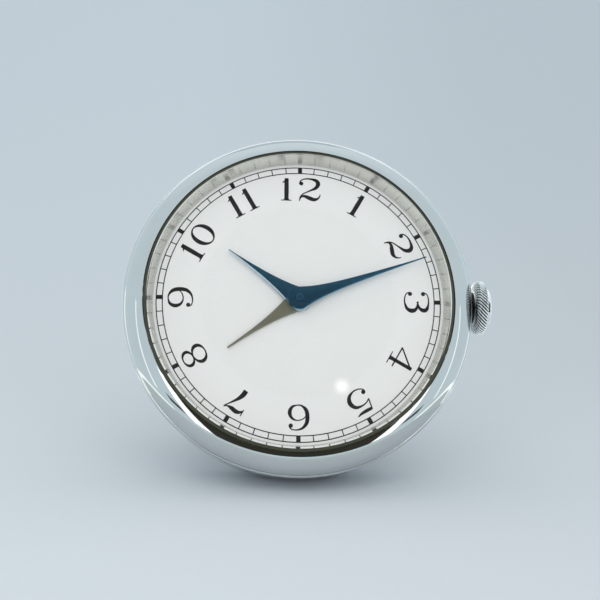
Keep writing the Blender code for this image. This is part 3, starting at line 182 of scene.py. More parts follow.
# Case back, hatch, screws and switch
SCREW_COUNT = 4
SCREW_CIRCLE_INSET = 2.0 * MM
SCREW_HEAD_RADIUS = 1.2 * MM
SCREW_HEAD_HEIGHT = 0.6 * MM
SCREW_SHANK_RADIUS = 0.6 * MM
SCREW_SLOT_WIDTH = 0.35 * MM
SCREW_SLOT_DEPTH = 0.25 * MM
SCREW_SLOT_DEGREES = 30.0
PLATE_SCREW_TURN_DEGREES = 47.0
HINGE_SCREW_TURN_DEGREES = 71.0
HATCH_THICKNESS = 1.6 * MM
HATCH_LUG_WIDTH = 6.0 * MM
HATCH_LUG_THICKNESS = 0.4 * MM
HATCH_TURN_DEGREES = 50.0
COIN_SLOT_LENGTH = 14.0 * MM
COIN_SLOT_WIDTH = 1.6 * MM
COIN_SLOT_DEPTH = 0.6 * MM
SOUND_HOLE_RADIUS = 0.6 * MM
SOUND_HOLE_CIRCLE = 2.4 * MM
SOUND_HOLE_COUNT = 5
SWITCH_TRAVEL = 3.0 * MM
SWITCH_LENGTH = 2.6 * MM
SWITCH_WIDTH = 1.8 * MM
SWITCH_FLANGE = 0.8 * MM
SWITCH_FLANGE_THICKNESS = 0.5 * MM
SWITCH_RIBS = 4
PLATE_EDGE = 0.12 * MM

# Strut, bracket and pin
KNUCKLE_LENGTH = 12.0 * MM
KNUCKLE_RADIUS = 1.6 * MM
PIN_RADIUS = 0.8 * MM
PIN_HEAD_RADIUS = 1.1 * MM
PIN_HEAD_LENGTH = 0.5 * MM
EAR_THICKNESS = 2.0 * MM
EAR_REACH = 1.8 * MM
EAR_TURN_DEGREES = 50.0
BRACKET_BASE = 1.0 * MM
BRACKET_HEIGHT = 6.0 * MM
BRACKET_SCREW_INSET = 1.8 * MM
STRUT_OPEN_DEGREES = 40.0
STRUT_THICKNESS = 1.6 * MM
STRUT_WIDTH = 20.0 * MM
STRUT_FOOT_WIDTH = 14.0 * MM
STRUT_CORNER = 3.0 * MM
STRUT_NECK = 2.6 * MM
STRUT_SHOULDER_TURN_DEGREES = 60.0
STRUT_FOOT_TURN_DEGREES = 80.0
FOOT_PAD_WALL = 0.5 * MM
FOOT_PAD_LENGTH = 3.0 * MM

# Camera, measured from the dial as it shows through the glass
CAMERA_DISTANCE = 193.5 * MM
CAMERA_RISE_DEGREES = 15.74
CAMERA_SIDE_DEGREES = 3.17
CAMERA_ROLL_DEGREES = 0.34
CAMERA_LENS = 58.57
CAMERA_SENSOR = 36.0
CAMERA_NEAR = 0.01
CAMERA_SHIFT = (0.0012, -0.0006)
GLASS_LIFT = 0.5 * MM

# Scales and depths of the materials' patterns
PATCH_SCALE = 110.0
HAIRLINE_SCALES = (900.0, 9000.0, 900.0)
BLOTCH_SCALE = 90.0
CLOUD_SCALE = 70.0
BRUSHED_ALONG = (600.0, 9000.0, 600.0)
BRUSHED_ACROSS = (9000.0, 600.0, 600.0)
HAZE_SCALE = 60.0
GLASS_TINT = (0.985, 0.995, 0.992, 1.0)
GLASS_INDEX = 1.5
WIRE_SCALE = 1400.0
WIRE_DEPTH = 0.03 * MM
TRACK_SCALE = 260.0
TRACK_DEPTH = 0.02 * MM
WEAVE_SCALE = 2500.0

# Sockets of the shared effects
VECTOR, COLOUR, NUMBER = "NodeSocketVector", "NodeSocketColor", "NodeSocketFloat"
ORIGIN = (0.0, 0.0, 0.0)
GREY = (0.5, 0.5, 0.5, 1.0)


# Turns and shifts
def spun(degrees, axis="Z"):
    return Matrix.Rotation(math.radians(degrees), 4, axis)


def shifted(across, up=0.0, out=0.0):
    return Matrix.Translation((across, up, out))


def frame_of(right, up, out, origin):
    turn = Matrix((right, up, out)).transposed().to_4x4()
    return Matrix.Translation(origin) @ turn


# The clock's own frame: x to 3 o'clock, y to 12 o'clock, z out of the dial
joints = {joint["name"]: joint for joint in frame["joints"]}
dial_centre = Vector(joints["minute_hand_turn"]["pos_m"])
outward = -Vector(joints["minute_hand_turn"]["axis"]).normalized()
rightward = Vector((1.0, 0.0, 0.0))
upward = outward.cross(rightward)
CLOCK = frame_of(rightward, upward, outward, dial_centre)
TO_CLOCK = CLOCK.inverted()
stem_place, hatch_place, hinge_place = [
    TO_CLOCK @ Vector(joints[name]["pos_m"]) for name in ("crown_turn", "hatch_turn", "strut_fold")]
HINGE = CLOCK @ (Matrix.Translation(hinge_place) @ spun(STRUT_OPEN_DEGREES, "X"))
STEM = CLOCK @ shifted(0.0, 0.0, stem_place.z) @ spun(90.0, "Y")
EDGE_ON = Matrix((
    (0.0, 0.0, 1.0, 0.0), (1.0, 0.0, 0.0, 0.0), (0.0, 1.0, 0.0, 0.0), (0.0, 0.0, 0.0, 1.0)))


def measured(node, axis):
    """Lowest and highest value of a node along one axis of the clock's frame."""
    values = [(TO_CLOCK @ vertex.co)[axis] for vertex in frame["nodes"][node].data.vertices]
    return min(values), max(values)


# Radii and heights worked out as the parts are
rehaut_top_radius = DIAL_OPENING_RADIUS + REHAUT_SPREAD
rehaut_outer_radius = rehaut_top_radius + REHAUT_LAND
crystal_radius = rehaut_top_radius + SEAT
gasket_inner_radius = crystal_radius + SEAT
gasket_outer_radius = gasket_inner_radius + GASKET_WIDTH
lip_radius = gasket_outer_radius + SEAT
case_bore_radius = rehaut_outer_radius + FREE
neck_outer_radius = case_bore_radius + NECK_WALL
bezel_bore_radius = neck_outer_radius + FIT
crease_radius = lip_radius + BAND_WIDTH
bead_end_radius = crease_radius + BEAD_RETURN
case_radius = bead_end_radius - CASE_INSET
barrel_end_radius = case_radius - BARREL_INSET
back_edge_radius = barrel_end_radius - BACK_ROUNDING
back_recess_radius = back_edge_radius - BACK_RIM
back_plate_radius = back_recess_radius - SEAM
ledge_inner_radius = back_recess_radius - LEDGE_WIDTH
crystal_bottom = REHAUT_HEIGHT + SEAT
neck_top = REHAUT_HEIGHT - NECK_DROP
lip_bottom = neck_top + FIT
crease_height = LIP_HEIGHT - BAND_DROP
bezel_bottom = crease_height - BEAD_DROP
case_shoulder = bezel_bottom - SEAM
barrel_end = case_shoulder - BARREL_LENGTH
back_face, back_plate_inner = measured("case_back", 2)
ledge_bottom = back_plate_inner + 2.0 * FREE
dial_radius = measured("dial", 0)[1]
crown_start = bead_end_radius + CROWN_STANDOFF + SEAM
hatch_radius = measured("battery_hatch", 1)[1] - hatch_place.y
lug_reach = measured("battery_hatch", 0)[1]
ear_inner = KNUCKLE_LENGTH / 2.0 + SEAM
ear_outer = ear_inner + EAR_THICKNESS
bracket_low = hinge_place.y + KNUCKLE_RADIUS + 2.0 * SEAM
bracket_high = bracket_low + BRACKET_HEIGHT
bracket_middle = (bracket_low + bracket_high) / 2.0
bracket_screws = [
    (side * (ear_inner - BRACKET_SCREW_INSET), bracket_middle) for side in (1.0, -1.0)]
switch_x, switch_y = [sum(measured("alarm_switch", axis)) / 2.0 for axis in (0, 1)]


# Shapes
def polar(radius, degrees):
    angle = math.radians(degrees)
    return (radius * math.cos(angle), radius * math.sin(angle))


def at_clock(radius, clock_degrees):
    return polar(radius, 90.0 - clock_degrees)


def arc_points(start, end, turn_degrees, count):
    """Points on a round arc between two points, turning by so many degrees on the way."""
    turn = math.radians(turn_degrees)
    chord = Vector(end) - Vector(start)
    radius = chord.length / (2.0 * math.sin(turn / 2.0))
    heading = math.atan2(chord.y, chord.x) - turn / 2.0
    points = []
    for step in range(count + 1):
        angle = heading + turn * step / count
        across = radius * (math.sin(angle) - math.sin(heading))
        along = radius * (math.cos(heading) - math.cos(angle))
        points.append((start[0] + across, start[1] + along))
    return points


def circle_outline(radius, steps, centre=(0.0, 0.0)):
    points = [polar(radius, 360.0 * step / steps) for step in range(steps)]
    return [(centre[0] + across, centre[1] + up) for across, up in points]


def rounded_outline(width, height, corner, centre=(0.0, 0.0), corner_steps=CORNER_STEPS):
    points = []
    for side, end, start in ((1, 1, 0.0), (-1, 1, 90.0), (-1, -1, 180.0), (1, -1, 270.0)):
        middle = (side * (width / 2.0 - corner), end * (height / 2.0 - corner))
        for step in range(corner_steps + 1):
            across, up = polar(corner, start + 90.0 * step / corner_steps)
            points.append((centre[0] + middle[0] + across, centre[1] + middle[1] + up))
    return points


def raw_mesh(name, shaped):
    mesh = bpy.data.meshes.new(name)
    shaped.to_mesh(mesh)
    shaped.free()
    return mesh


def finished_mesh(name, shaped):
    """A mesh from a bmesh: doubles merged, normals outward, smooth but for its sharp corners."""
    bmesh.ops.remove_doubles(shaped, verts=shaped.verts, dist=MERGE)
    bmesh.ops.recalc_face_normals(shaped, faces=shaped.faces)
    mesh = raw_mesh(name, shaped)
    mesh.shade_smooth()
    mesh.set_sharp_from_angle(angle=math.radians(SHARP_DEGREES))
    return mesh


def add_object(name, data, *materials):
    item = bpy.data.objects.new(name, data)
    scene.collection.objects.link(item)
    for material in materials:
        data.materials.append(material)
    return item


def add_wall(shaped, near, far, slot=0):
    """Faces between two closed loops of points; they take a material slot."""
    for index in range(len(near)):
        following = (index + 1) % len(near)
        face = shaped.faces.new((near[index], near[following], far[following], far[index]))
        face.material_index = slot


def add_grid(shaped, rows):
    """Faces between open rows of points."""
    for near, far in zip(rows, rows[1:]):
        for index in range(len(near) - 1):
            shaped.faces.new((near[index], near[index + 1], far[index + 1], far[index]))


def turned(shaped, profile, steps, place=Matrix()):
    """Add a shape turned about z from (radius, height) points; it closes on itself off the axis."""
    rings = []
    for radius, height in profile:
        flat = circle_outline(radius, steps) if radius > 0.0 else [(0.0, 0.0)]
        rings.append([shaped.verts.new(place @ Vector((*point, height))) for point in flat])
    pairs = list(zip(rings, rings[1:]))
    if len(rings[0]) > 1:
        pairs.append((rings[-1], rings[0]))
    for near, far in pairs:
        for index in range(steps):
            corners = [near[index % len(near)], near[(index + 1) % len(near)],
                       far[(index + 1) % len(far)], far[index % len(far)]]
            corners = list(dict.fromkeys(corners))
            if len(corners) > 2:
                shaped.faces.new(corners)


def stamped(shaped, outlines, bottom, top, edge=0.0, place=Matrix()):
    """Add a flat plate between two heights, inner outlines being holes, its edges rounded."""
    curve = bpy.data.curves.new("outline", "CURVE")
    curve.dimensions = "2D"
    curve.fill_mode = "BOTH"
    curve.extrude = (top - bottom) / 2.0 - edge
    curve.bevel_depth = edge
    curve.bevel_resolution = 2
    curve.offset = -edge
    for outline in outlines:
        spline = curve.splines.new("POLY")
        spline.points.add(len(outline) - 1)
        for point, (across, up) in zip(spline.points, outline):
            point.co = (across, up, 0.0, 1.0)
        spline.use_cyclic_u = True
    drawing = add_object("outline", curve)
    graph = bpy.context.evaluated_depsgraph_get()
    flat = bpy.data.meshes.new_from_object(drawing.evaluated_get(graph))
    flat.transform(place @ shifted(0.0, 0.0, (top + bottom) / 2.0))
    bpy.data.objects.remove(drawing, do_unlink=True)
    bpy.data.curves.remove(curve)
    shaped.from_mesh(flat)
    bpy.data.meshes.remove(flat)


def bring_in(name, shaped, body, material, nodes=(), holder=CLOCK, upright=False):
    """A finished piece in a frame, riding on a body in place of the nodes that it stands for.

    An upright piece keeps the same place, but its own axes are those of the ground.
    """
    if upright:
        bmesh.ops.transform(shaped, matrix=holder, verts=shaped.verts)
        holder = Matrix.Identity(4)
    piece = add_object(name, finished_mesh(name, shaped), material)
    piece.matrix_world = holder
    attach(piece, body)
    if nodes:
        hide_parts(*nodes)
    return piece


def bring_turned(name, profile, material, nodes, body="case",
                 holder=CLOCK, upright=False, steps=RING_STEPS, place=Matrix()):
    """A finished piece that is one turned shape."""
    shaped = bmesh.new()
    turned(shaped, profile, steps, place)
    return bring_in(name, shaped, body, material, nodes, holder, upright)


def cut_below_ground(shaped, holder):
    """Cut a shape, given in a frame, flat on the ground."""
    to_frame = holder.inverted()
    ground = to_frame @ Vector((0.0, 0.0, 0.0))
    normal = (to_frame.to_3x3() @ Vector((0.0, 0.0, 1.0))).normalized()
    every = list(shaped.verts) + list(shaped.edges) + list(shaped.faces)
    cut = bmesh.ops.bisect_plane(
        shaped, geom=every, dist=MERGE, plane_co=ground, plane_no=normal, clear_inner=True)
    rim = [item for item in cut["geom_cut"] if isinstance(item, bmesh.types.BMEdge)]
    bmesh.ops.edgeloop_fill(shaped, edges=rim)


# Node helpers
def feed(tree, node, inputs):
    """Give inputs of a node their values: a socket is linked, and a constant is set."""
    for key, value in inputs.items():
        if isinstance(value, bpy.types.NodeSocket):
            tree.links.new(value, node.inputs[key])
        else:
            node.inputs[key].default_value = value


def add_node(tree, kind, inputs=None, **settings):
    node = tree.nodes.new(kind)
    for key, value in settings.items():
        setattr(node, key, value)
    feed(tree, node, inputs or {})
    return node


def calculate(tree, operation, first, second=0.0):
    return add_node(tree, "ShaderNodeMath", {0: first, 1: second}, operation=operation).outputs[0]


def vector_math(tree, operation, first, second=ORIGIN, output="Vector"):
    node = add_node(tree, "ShaderNodeVectorMath", {0: first, 1: second}, operation=operation)
    return node.outputs[output]


def shade(tree, colour, amount):
    """Scale a colour by an amount round one."""
    node = add_node(tree, "ShaderNodeVectorMath", {0: colour, "Scale": amount}, operation="SCALE")
    return node.outputs["Vector"]


def spread(tree, value, low, high, to_low, to_high):
    """Map a value from one range to another, held at its ends."""
    return add_node(tree, "ShaderNodeMapRange", {
        "Value": value, "From Min": low, "From Max": high, "To Min": to_low, "To Max": to_high,
    }).outputs["Result"]


def mixed(tree, share, first, second):
    return add_node(tree, "ShaderNodeMix", {"Factor": share, "A": first, "B": second},
                    data_type="RGBA").outputs["Result"]


def noise(tree, place, scale, detail, roughness=0.5):
    return add_node(tree, "ShaderNodeTexNoise", {
        "Vector": place, "Scale": scale, "Detail": detail, "Roughness": roughness}).outputs["Fac"]


# Effects that the materials share
def make_effect(name, build, roughness, **own):
    """A group that scales a colour, adds to a roughness and gives a height, as its build says."""
    group = bpy.data.node_groups.new(name, "ShaderNodeTree")
    sockets = {"Coordinate": ORIGIN, "Colour": GREY, "Roughness": roughness, **own}
    for label, value in sockets.items():
        kind = NUMBER if isinstance(value, float) else COLOUR if value == GREY else VECTOR
        group.interface.new_socket(label, in_out="INPUT", socket_type=kind).default_value = value
    for label, kind in (("Colour", COLOUR), ("Roughness", NUMBER), ("Height", NUMBER)):
        group.interface.new_socket(label, in_out="OUTPUT", socket_type=kind)
    given = group.nodes.new("NodeGroupInput").outputs
    amount, uneven, height = build(group, given)
    add_node(group, "NodeGroupOutput", {
        "Colour": shade(group, given["Colour"], amount),
        "Roughness": calculate(group, "ADD", given["Roughness"], uneven), "Height": height})
    return group


def wiped(group, given):
    """Polished metal that hands and cloths have touched: dull patches and fine hairlines."""
    patches = noise(group, given["Coordinate"], PATCH_SCALE, 5.0, 0.6)
    drawn = vector_math(group, "MULTIPLY", given["Coordinate"], HAIRLINE_SCALES)
    hairlines = noise(group, drawn, 1.0, 2.0)
    worn = calculate(group, "ADD", spread(group, patches, 0.42, 0.72, 0.0, 1.0),
                     spread(group, hairlines, 0.55, 0.8, 0.0, 0.5))
    return (spread(group, patches, 0.3, 0.75, 1.02, 0.96),
            calculate(group, "MULTIPLY", worn, given["Wear"]), hairlines)


def brushed(group, given):
    """Metal brushed one way: streaks in colour, roughness and height."""
    drawn = vector_math(group, "MULTIPLY", given["Coordinate"], given["Streaks"])
    streaks = noise(group, drawn, 1.0, 4.0, 0.65)
    blotches = noise(group, given["Coordinate"], BLOTCH_SCALE, 3.0)
    amount = calculate(group, "MULTIPLY", spread(group, streaks, 0.25, 0.75, 0.88, 1.08),
                       spread(group, blotches, 0.3, 0.7, 0.96, 1.03))
    return amount, spread(group, streaks, 0.3, 0.7, -0.06, 0.08), streaks


def lathed(group, given):
    """Fine rings round an axis, as turning leaves them."""
    flat = vector_math(group, "MULTIPLY", given["Coordinate"], (1.0, 1.0, 0.0))
    radius = vector_math(group, "LENGTH", flat, output="Value")
    lines = add_node(group, "ShaderNodeTexNoise", {
        "W": calculate(group, "MULTIPLY", radius, given["Pitch"]), "Scale": 1.0, "Detail": 3.0,
    }, noise_dimensions="1D").outputs["Fac"]
    return (spread(group, lines, 0.25, 0.75, 0.9, 1.08),
            spread(group, lines, 0.3, 0.7, -0.05, 0.07), lines)


def grained(group, given):
    """Even fine grain with slow cloudiness, for lacquer, rubber and moulded plastic."""
    grain = noise(group, given["Coordinate"], given["Scale"], 3.0, 0.55)
    clouds = noise(group, given["Coordinate"], CLOUD_SCALE, 3.0)
    swing = calculate(group, "ADD", calculate(group, "SUBTRACT", grain, 0.5),
                      calculate(group, "SUBTRACT", clouds, 0.5))
    amount = calculate(group, "ADD", 1.0, calculate(group, "MULTIPLY", swing, given["Contrast"]))
    return amount, calculate(group, "MULTIPLY", swing, 0.12), grain


WIPED_METAL = make_effect("wiped_metal", wiped, 0.06, Wear=0.05)
BRUSHING = make_effect("brushing", brushed, 0.3, Streaks=(1.0, 1.0, 1.0))
LATHE_MARKS = make_effect("lathe_marks", lathed, 0.25, Pitch=9000.0)
FINE_GRAIN = make_effect("fine_grain", grained, 0.4, Scale=6000.0, Contrast=0.03)


# Materials
def srgb(red, green, blue):
    """A colour as it shows on screen, 0 to 255, in linear light."""
    def linear(value):
        share = value / 255.0
        return share / 12.92 if share <= 0.04045 else ((share + 0.055) / 1.055) ** 2.4
    return (linear(red), linear(green), linear(blue), 1.0)


def new_material(name):
    material = bpy.data.materials.new(name)
    material.use_nodes = True
    tree = material.node_tree
    return material, tree, tree.nodes["Principled BSDF"]


def coordinate(tree, leaned=False):
    """Object coordinates; leaned ones turn those of a node in ground axes to the clock's."""
    place = add_node(tree, "ShaderNodeTexCoord").outputs["Object"]
    if not leaned:
        return place
    return add_node(tree, "ShaderNodeMapping", {
        "Vector": place, "Location": CLOCK.to_translation(), "Rotation": CLOCK.to_euler(),
    }, vector_type="TEXTURE").outputs["Vector"]


def add_relief(tree, shader, height, depth):
    relief = add_node(tree, "ShaderNodeBump", {
        "Strength": 1.0, "Distance": depth, "Height": height})
    feed(tree, shader, {"Normal": relief.outputs["Normal"]})


def textured(name, group, colour, metallic, roughness, bump=0.0, leaned=False, shift=None, **own):
    """A material whose colour, roughness and bump, in millimetres, come from a shared group."""
    material, tree, shader = new_material(name)
    place = coordinate(tree, leaned)
    if shift is not None:
        place = vector_math(tree, "SUBTRACT", place, tuple(shift))
    effect = add_node(tree, "ShaderNodeGroup", node_tree=group)
    feed(tree, effect, {
        "Coordinate": place, "Colour": srgb(*colour), "Roughness": roughness, **own})
    feed(tree, shader, {"Base Color": effect.outputs["Colour"],
                        "Roughness": effect.outputs["Roughness"], "Metallic": metallic})
    if bump:
        add_relief(tree, shader, effect.outputs["Height"], bump * MM)
    return material


def wiped_metal(name, colour, roughness, wear):
    return textured(name, WIPED_METAL, colour, 1.0, roughness, Wear=wear)


def brushed_metal(name, colour, roughness, streaks=BRUSHED_ALONG, metallic=1.0, **more):
    return textured(name, BRUSHING, colour, metallic, roughness, Streaks=streaks, **more)


def lathed_metal(name, colour, roughness, pitch, **more):
    return textured(name, LATHE_MARKS, colour, 1.0, roughness, Pitch=pitch, **more)


def grained_skin(name, colour, roughness, bump=0.0, scale=6000.0, contrast=0.03):
    return textured(name, FINE_GRAIN, colour, 0.0, roughness, bump, Scale=scale, Contrast=contrast)


polished_steel = wiped_metal("polished_steel", (207, 210, 210), 0.03, 0.03)
barrel_steel = wiped_metal("barrel_steel", (204, 207, 208), 0.05, 0.06)
rehaut_steel = wiped_metal("rehaut_steel", (240, 240, 233), 0.24, 0.0)
screw_steel = wiped_metal("screw_steel", (222, 224, 224), 0.14, 0.12)
back_steel = brushed_metal("back_steel", (205, 208, 210), 0.3, bump=0.002)
strut_steel = brushed_metal("strut_steel", (180, 184, 188), 0.28, BRUSHED_ACROSS, bump=0.002)
blued_steel = brushed_metal("blued_steel", (91, 168, 204), 0.14)
# Lit and shaded copies of the blued steel for the hands' sloped sides: a painted highlight on the
# hour hand's, painted shade on the minute hand's
hour_side_painted_highlight = brushed_metal("hour_side_painted_highlight", (205, 228, 238), 0.2)
minute_side_painted_shade = brushed_metal("minute_side_painted_shade", (62, 120, 150), 0.3)
alarm_satin = brushed_metal("alarm_satin", (146, 144, 124), 0.4, metallic=0.7)
plate_brass = brushed_metal("plate_brass", (206, 176, 116), 0.3, leaned=True)
movement_steel = brushed_metal("movement_steel", (196, 198, 200), 0.28, leaned=True)
hatch_steel = lathed_metal(
    "hatch_steel", (206, 208, 209), 0.26, 5000.0, bump=0.002, shift=hatch_place)
cap_steel = lathed_metal("cap_steel", (60, 104, 128), 0.42, 16000.0)
wheel_brass = lathed_metal("wheel_brass", (214, 178, 106), 0.24, 8000.0, leaned=True)
battery_steel = lathed_metal(
    "battery_steel", (214, 215, 216), 0.2, 4000.0, leaned=True, shift=hatch_place)
# Near-black for the crown's back face: painted shadow in the gap where the crown faces the case
crown_painted_shadow = grained_skin("crown_painted_shadow", (34, 34, 33), 0.7)
dial_lacquer = grained_skin("dial_lacquer", (225, 226, 225), 0.42, 0.001, 9000.0, 0.05)
dial_hobnail = grained_skin("dial_hobnail", (223, 224, 223), 0.34, 0.001, 9000.0, 0.05)
dial_ink = grained_skin("dial_ink", (18, 20, 18), 0.6, 0.0, 12000.0, 0.12)
gasket_olive = grained_skin("gasket_olive", (58, 60, 44), 0.5, 0.004, 5000.0, 0.25)
black_rubber = grained_skin("black_rubber", (38, 38, 40), 0.62, 0.01, 4500.0, 0.35)
black_plastic = grained_skin("black_plastic", (44, 44, 46), 0.48, 0.008, 7000.0, 0.2)
white_plastic = grained_skin("white_plastic", (206, 206, 198), 0.45, 0.006, 6000.0, 0.08)


def make_glass_material():
    material, tree, shader = new_material("crystal_glass")
    haze = spread(tree, noise(tree, coordinate(tree), HAZE_SCALE, 2.0), 0.45, 0.8, 0.0, 0.015)
    feed(tree, shader, {"Roughness": haze, "Base Color": GLASS_TINT, "Metallic": 0.0,
                        "Transmission Weight": 1.0, "IOR": GLASS_INDEX})
    return material


def make_winding():
    """Enamelled copper wire laid side by side along the coil."""
    material, tree, shader = new_material("copper_winding")
    turns = add_node(tree, "ShaderNodeTexWave", {
        "Vector": coordinate(tree, leaned=True), "Scale": WIRE_SCALE, "Distortion": 0.4,
        "Detail": 1.0}, wave_type="BANDS", bands_direction="X").outputs["Fac"]
    feed(tree, shader, {
        "Base Color": mixed(tree, turns, srgb(120, 56, 30), srgb(216, 128, 78)), "Metallic": 1.0,
        "Roughness": spread(tree, turns, 0.0, 1.0, 0.42, 0.24)})
    add_relief(tree, shader, turns, WIRE_DEPTH)
    return material


def make_board():
    """Green solder mask over thin copper tracks."""
    material, tree, shader = new_material("board_green")
    place = coordinate(tree, leaned=True)
    tracks = add_node(tree, "ShaderNodeTexBrick", {
        "Vector": place, "Scale": TRACK_SCALE, "Mortar Size": 0.05, "Color1": srgb(30, 92, 52),
        "Color2": srgb(26, 84, 48), "Mortar": srgb(74, 132, 74)})
    weave = noise(tree, place, WEAVE_SCALE, 2.0)
    feed(tree, shader, {"Base Color": tracks.outputs["Color"],
                        "Roughness": spread(tree, weave, 0.3, 0.7, 0.3, 0.42)})
    add_relief(tree, shader, tracks.outputs["Fac"], TRACK_DEPTH)
    return material


def turn_grain(material):
    """Stretch reflections across the fine rings that a lathe leaves."""
    tree = material.node_tree
    around = add_node(tree, "ShaderNodeTangent", direction_type="RADIAL", axis="Z")
    feed(tree, tree.nodes["Principled BSDF"], {
        "Tangent": around.outputs["Tangent"], "Anisotropic": 1.0, "Anisotropic Rotation": 0.25})


def make_crown_material():
    """Polished steel with painted shade in its grooves, bore and back face; the crown's points say
    how light they are painted.
    """
    material = wiped_metal("crown_steel", (246, 248, 248), 0.1, 0.08)
    tree = material.node_tree
    shader = tree.nodes["Principled BSDF"]
    effect = shader.inputs["Base Color"].links[0].from_node.outputs
    # Painted shade: the crown's colour is darkened where its points are painted dark
    painted_light = add_node(tree, "ShaderNodeAttribute", attribute_name="painted_light").outputs["Fac"]
    amount = spread(tree, painted_light, 0.3, 0.75, 0.02, 1.0)
    duller = spread(tree, painted_light, 0.1, 0.6, 0.25, 0.0)
    feed(tree, shader, {"Base Color": shade(tree, effect["Colour"], amount),
                        "Roughness": calculate(tree, "ADD", effect["Roughness"], duller)})
    return material


turn_grain(rehaut_steel)
crown_steel = make_crown_material()
crystal_glass = make_glass_material()
copper_winding = make_winding()
board_green = make_board()


# Bezel, case, glass and their rings
def make_bezel():
    crease_end = crease_height - CREASE_WIDTH
    profile = [
        (lip_radius, LIP_HEIGHT - LIP_CHAMFER),
        *arc_points((lip_radius + LIP_CHAMFER, LIP_HEIGHT), (crease_radius, crease_height),
                    -BAND_TURN_DEGREES, BAND_STEPS),
        (crease_radius - CREASE_DEPTH, crease_height - CREASE_WIDTH / 2.0),
        (crease_radius, crease_end),
        *arc_points((crease_radius + CREASE_WIDTH / 4.0, crease_end),
                    (bead_end_radius, bezel_bottom), -BEAD_TURN_DEGREES, BEAD_STEPS),
        (bezel_bore_radius, bezel_bottom),
        (bezel_bore_radius, lip_bottom),
        (lip_radius, lip_bottom),
    ]
    bring_turned("bezel_ring", profile, polished_steel, ["bezel"], upright=True)


def make_case():
    barrel = (barrel_end_radius, barrel_end)
    ledge_top = ledge_bottom + LEDGE_THICKNESS
    profile = [
        (case_bore_radius, neck_top),
        (neck_outer_radius, neck_top),
        (neck_outer_radius, case_shoulder),
        *arc_points((case_radius, case_shoulder), barrel, -BARREL_TURN_DEGREES, BARREL_STEPS),
        *arc_points(barrel, (back_edge_radius, back_face), -BACK_TURN_DEGREES, BACK_STEPS)[1:],
        (back_recess_radius, back_face),
        (back_recess_radius, ledge_bottom),
        (ledge_inner_radius, ledge_bottom),
        (ledge_inner_radius, ledge_top),
        (case_bore_radius, ledge_top),
    ]
    shaped = bmesh.new()
    turned(shaped, profile, RING_STEPS)
    cut_below_ground(shaped, CLOCK)
    bring_in("case_shell", shaped, "case", barrel_steel, ["case_body"],
             upright=True)


def make_crystal():
    edge_top = crystal_bottom + CRYSTAL_EDGE
    dome_radius = crystal_radius - CRYSTAL_CHAMFER
    dome_top = edge_top + CRYSTAL_CHAMFER + CRYSTAL_RISE
    shares = [step / DOME_STEPS for step in range(DOME_STEPS + 1)]
    profile = [
        *((dome_radius * share, dome_top - CRYSTAL_RISE * share ** 2) for share in shares),
        (crystal_radius, edge_top),
        (crystal_radius, crystal_bottom),
        *((dome_radius * share, crystal_bottom + CRYSTAL_RISE * (1.0 - share ** 2))
          for share in reversed(shares)),
    ]
    glass = bring_turned("domed_crystal", profile, crystal_glass, ["crystal"])
    glass.visible_shadow = False
    glass.visible_diffuse = False


def make_gasket():
    top = crystal_bottom + GASKET_HEIGHT
    rounding = GASKET_WIDTH / 5.0
    side = top - rounding
    profile = [
        (gasket_inner_radius, side),
        *arc_points((gasket_inner_radius, side), (gasket_inner_radius + rounding, top),
                    -90.0, ROUNDING_STEPS)[1:],
        *arc_points((gasket_outer_radius - rounding, top), (gasket_outer_radius, side),
                    -90.0, ROUNDING_STEPS),
        (gasket_outer_radius, crystal_bottom),
        (gasket_inner_radius, crystal_bottom),
    ]
    bring_turned("crystal_seal", profile, gasket_olive, ["crystal_gasket"])


def make_rehaut():
    profile = [
        (rehaut_top_radius, REHAUT_HEIGHT),
        (rehaut_outer_radius, REHAUT_HEIGHT),
        (rehaut_outer_radius, FIT),
        (DIAL_OPENING_RADIUS, FIT),
        (DIAL_OPENING_RADIUS, FREE),
    ]
    bring_turned("sloped_rehaut", profile, rehaut_steel, ["rehaut_ring"])


# Dial with its cut middle
def make_dial():
    hole = ARBOR_RADIUS + 2.0 * PIPE_STEP + 2.0 * FREE
    profile = [
        (hole, -HOBNAIL_FLOOR),
        (HOBNAIL_RADIUS, -HOBNAIL_FLOOR),
        (HOBNAIL_RADIUS, 0.0),
        (dial_radius, 0.0),
        (dial_radius, -DIAL_THICKNESS),
        (hole, -DIAL_THICKNESS),
    ]
    bring_turned("dial_plate", profile, dial_lacquer, ["dial"])


def make_hobnail():
    """Small square pyramids that share their corners, cut off at a circle."""
    shaped = bmesh.new()
    corners = {}

    def corner(column, row, height):
        key = (column, row)
        if key not in corners:
            corners[key] = shaped.verts.new((column * HOBNAIL_PITCH, row * HOBNAIL_PITCH, height))
        return corners[key]

    cells = int(HOBNAIL_RADIUS / HOBNAIL_PITCH) + 1
    for column in range(-cells, cells):
        for row in range(-cells, cells):
            ring = [corner(column + across, row + up, -HOBNAIL_HEIGHT)
                    for across, up in ((0, 0), (1, 0), (1, 1), (0, 1))]
            peak = corner(column + 0.5, row + 0.5, 0.0)
            for start, end in zip(ring, ring[1:] + ring[:1]):
                shaped.faces.new((start, end, peak))
    outside = [vertex for vertex in shaped.verts if vertex.co.xy.length > HOBNAIL_RADIUS]
    bmesh.ops.delete(shaped, geom=outside, context="VERTS")
    shaped.transform(spun(HOBNAIL_TURN_DEGREES))
    for vertex in shaped.verts:
        if any(edge.is_boundary for edge in vertex.link_edges):
            vertex.co.xy = vertex.co.xy.normalized() * HOBNAIL_RADIUS
            vertex.co.z = 0.0
    pattern = add_object("dial_hobnail", raw_mesh("dial_hobnail", shaped), dial_hobnail)
    pattern.matrix_world = CLOCK
    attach(pattern, "case")


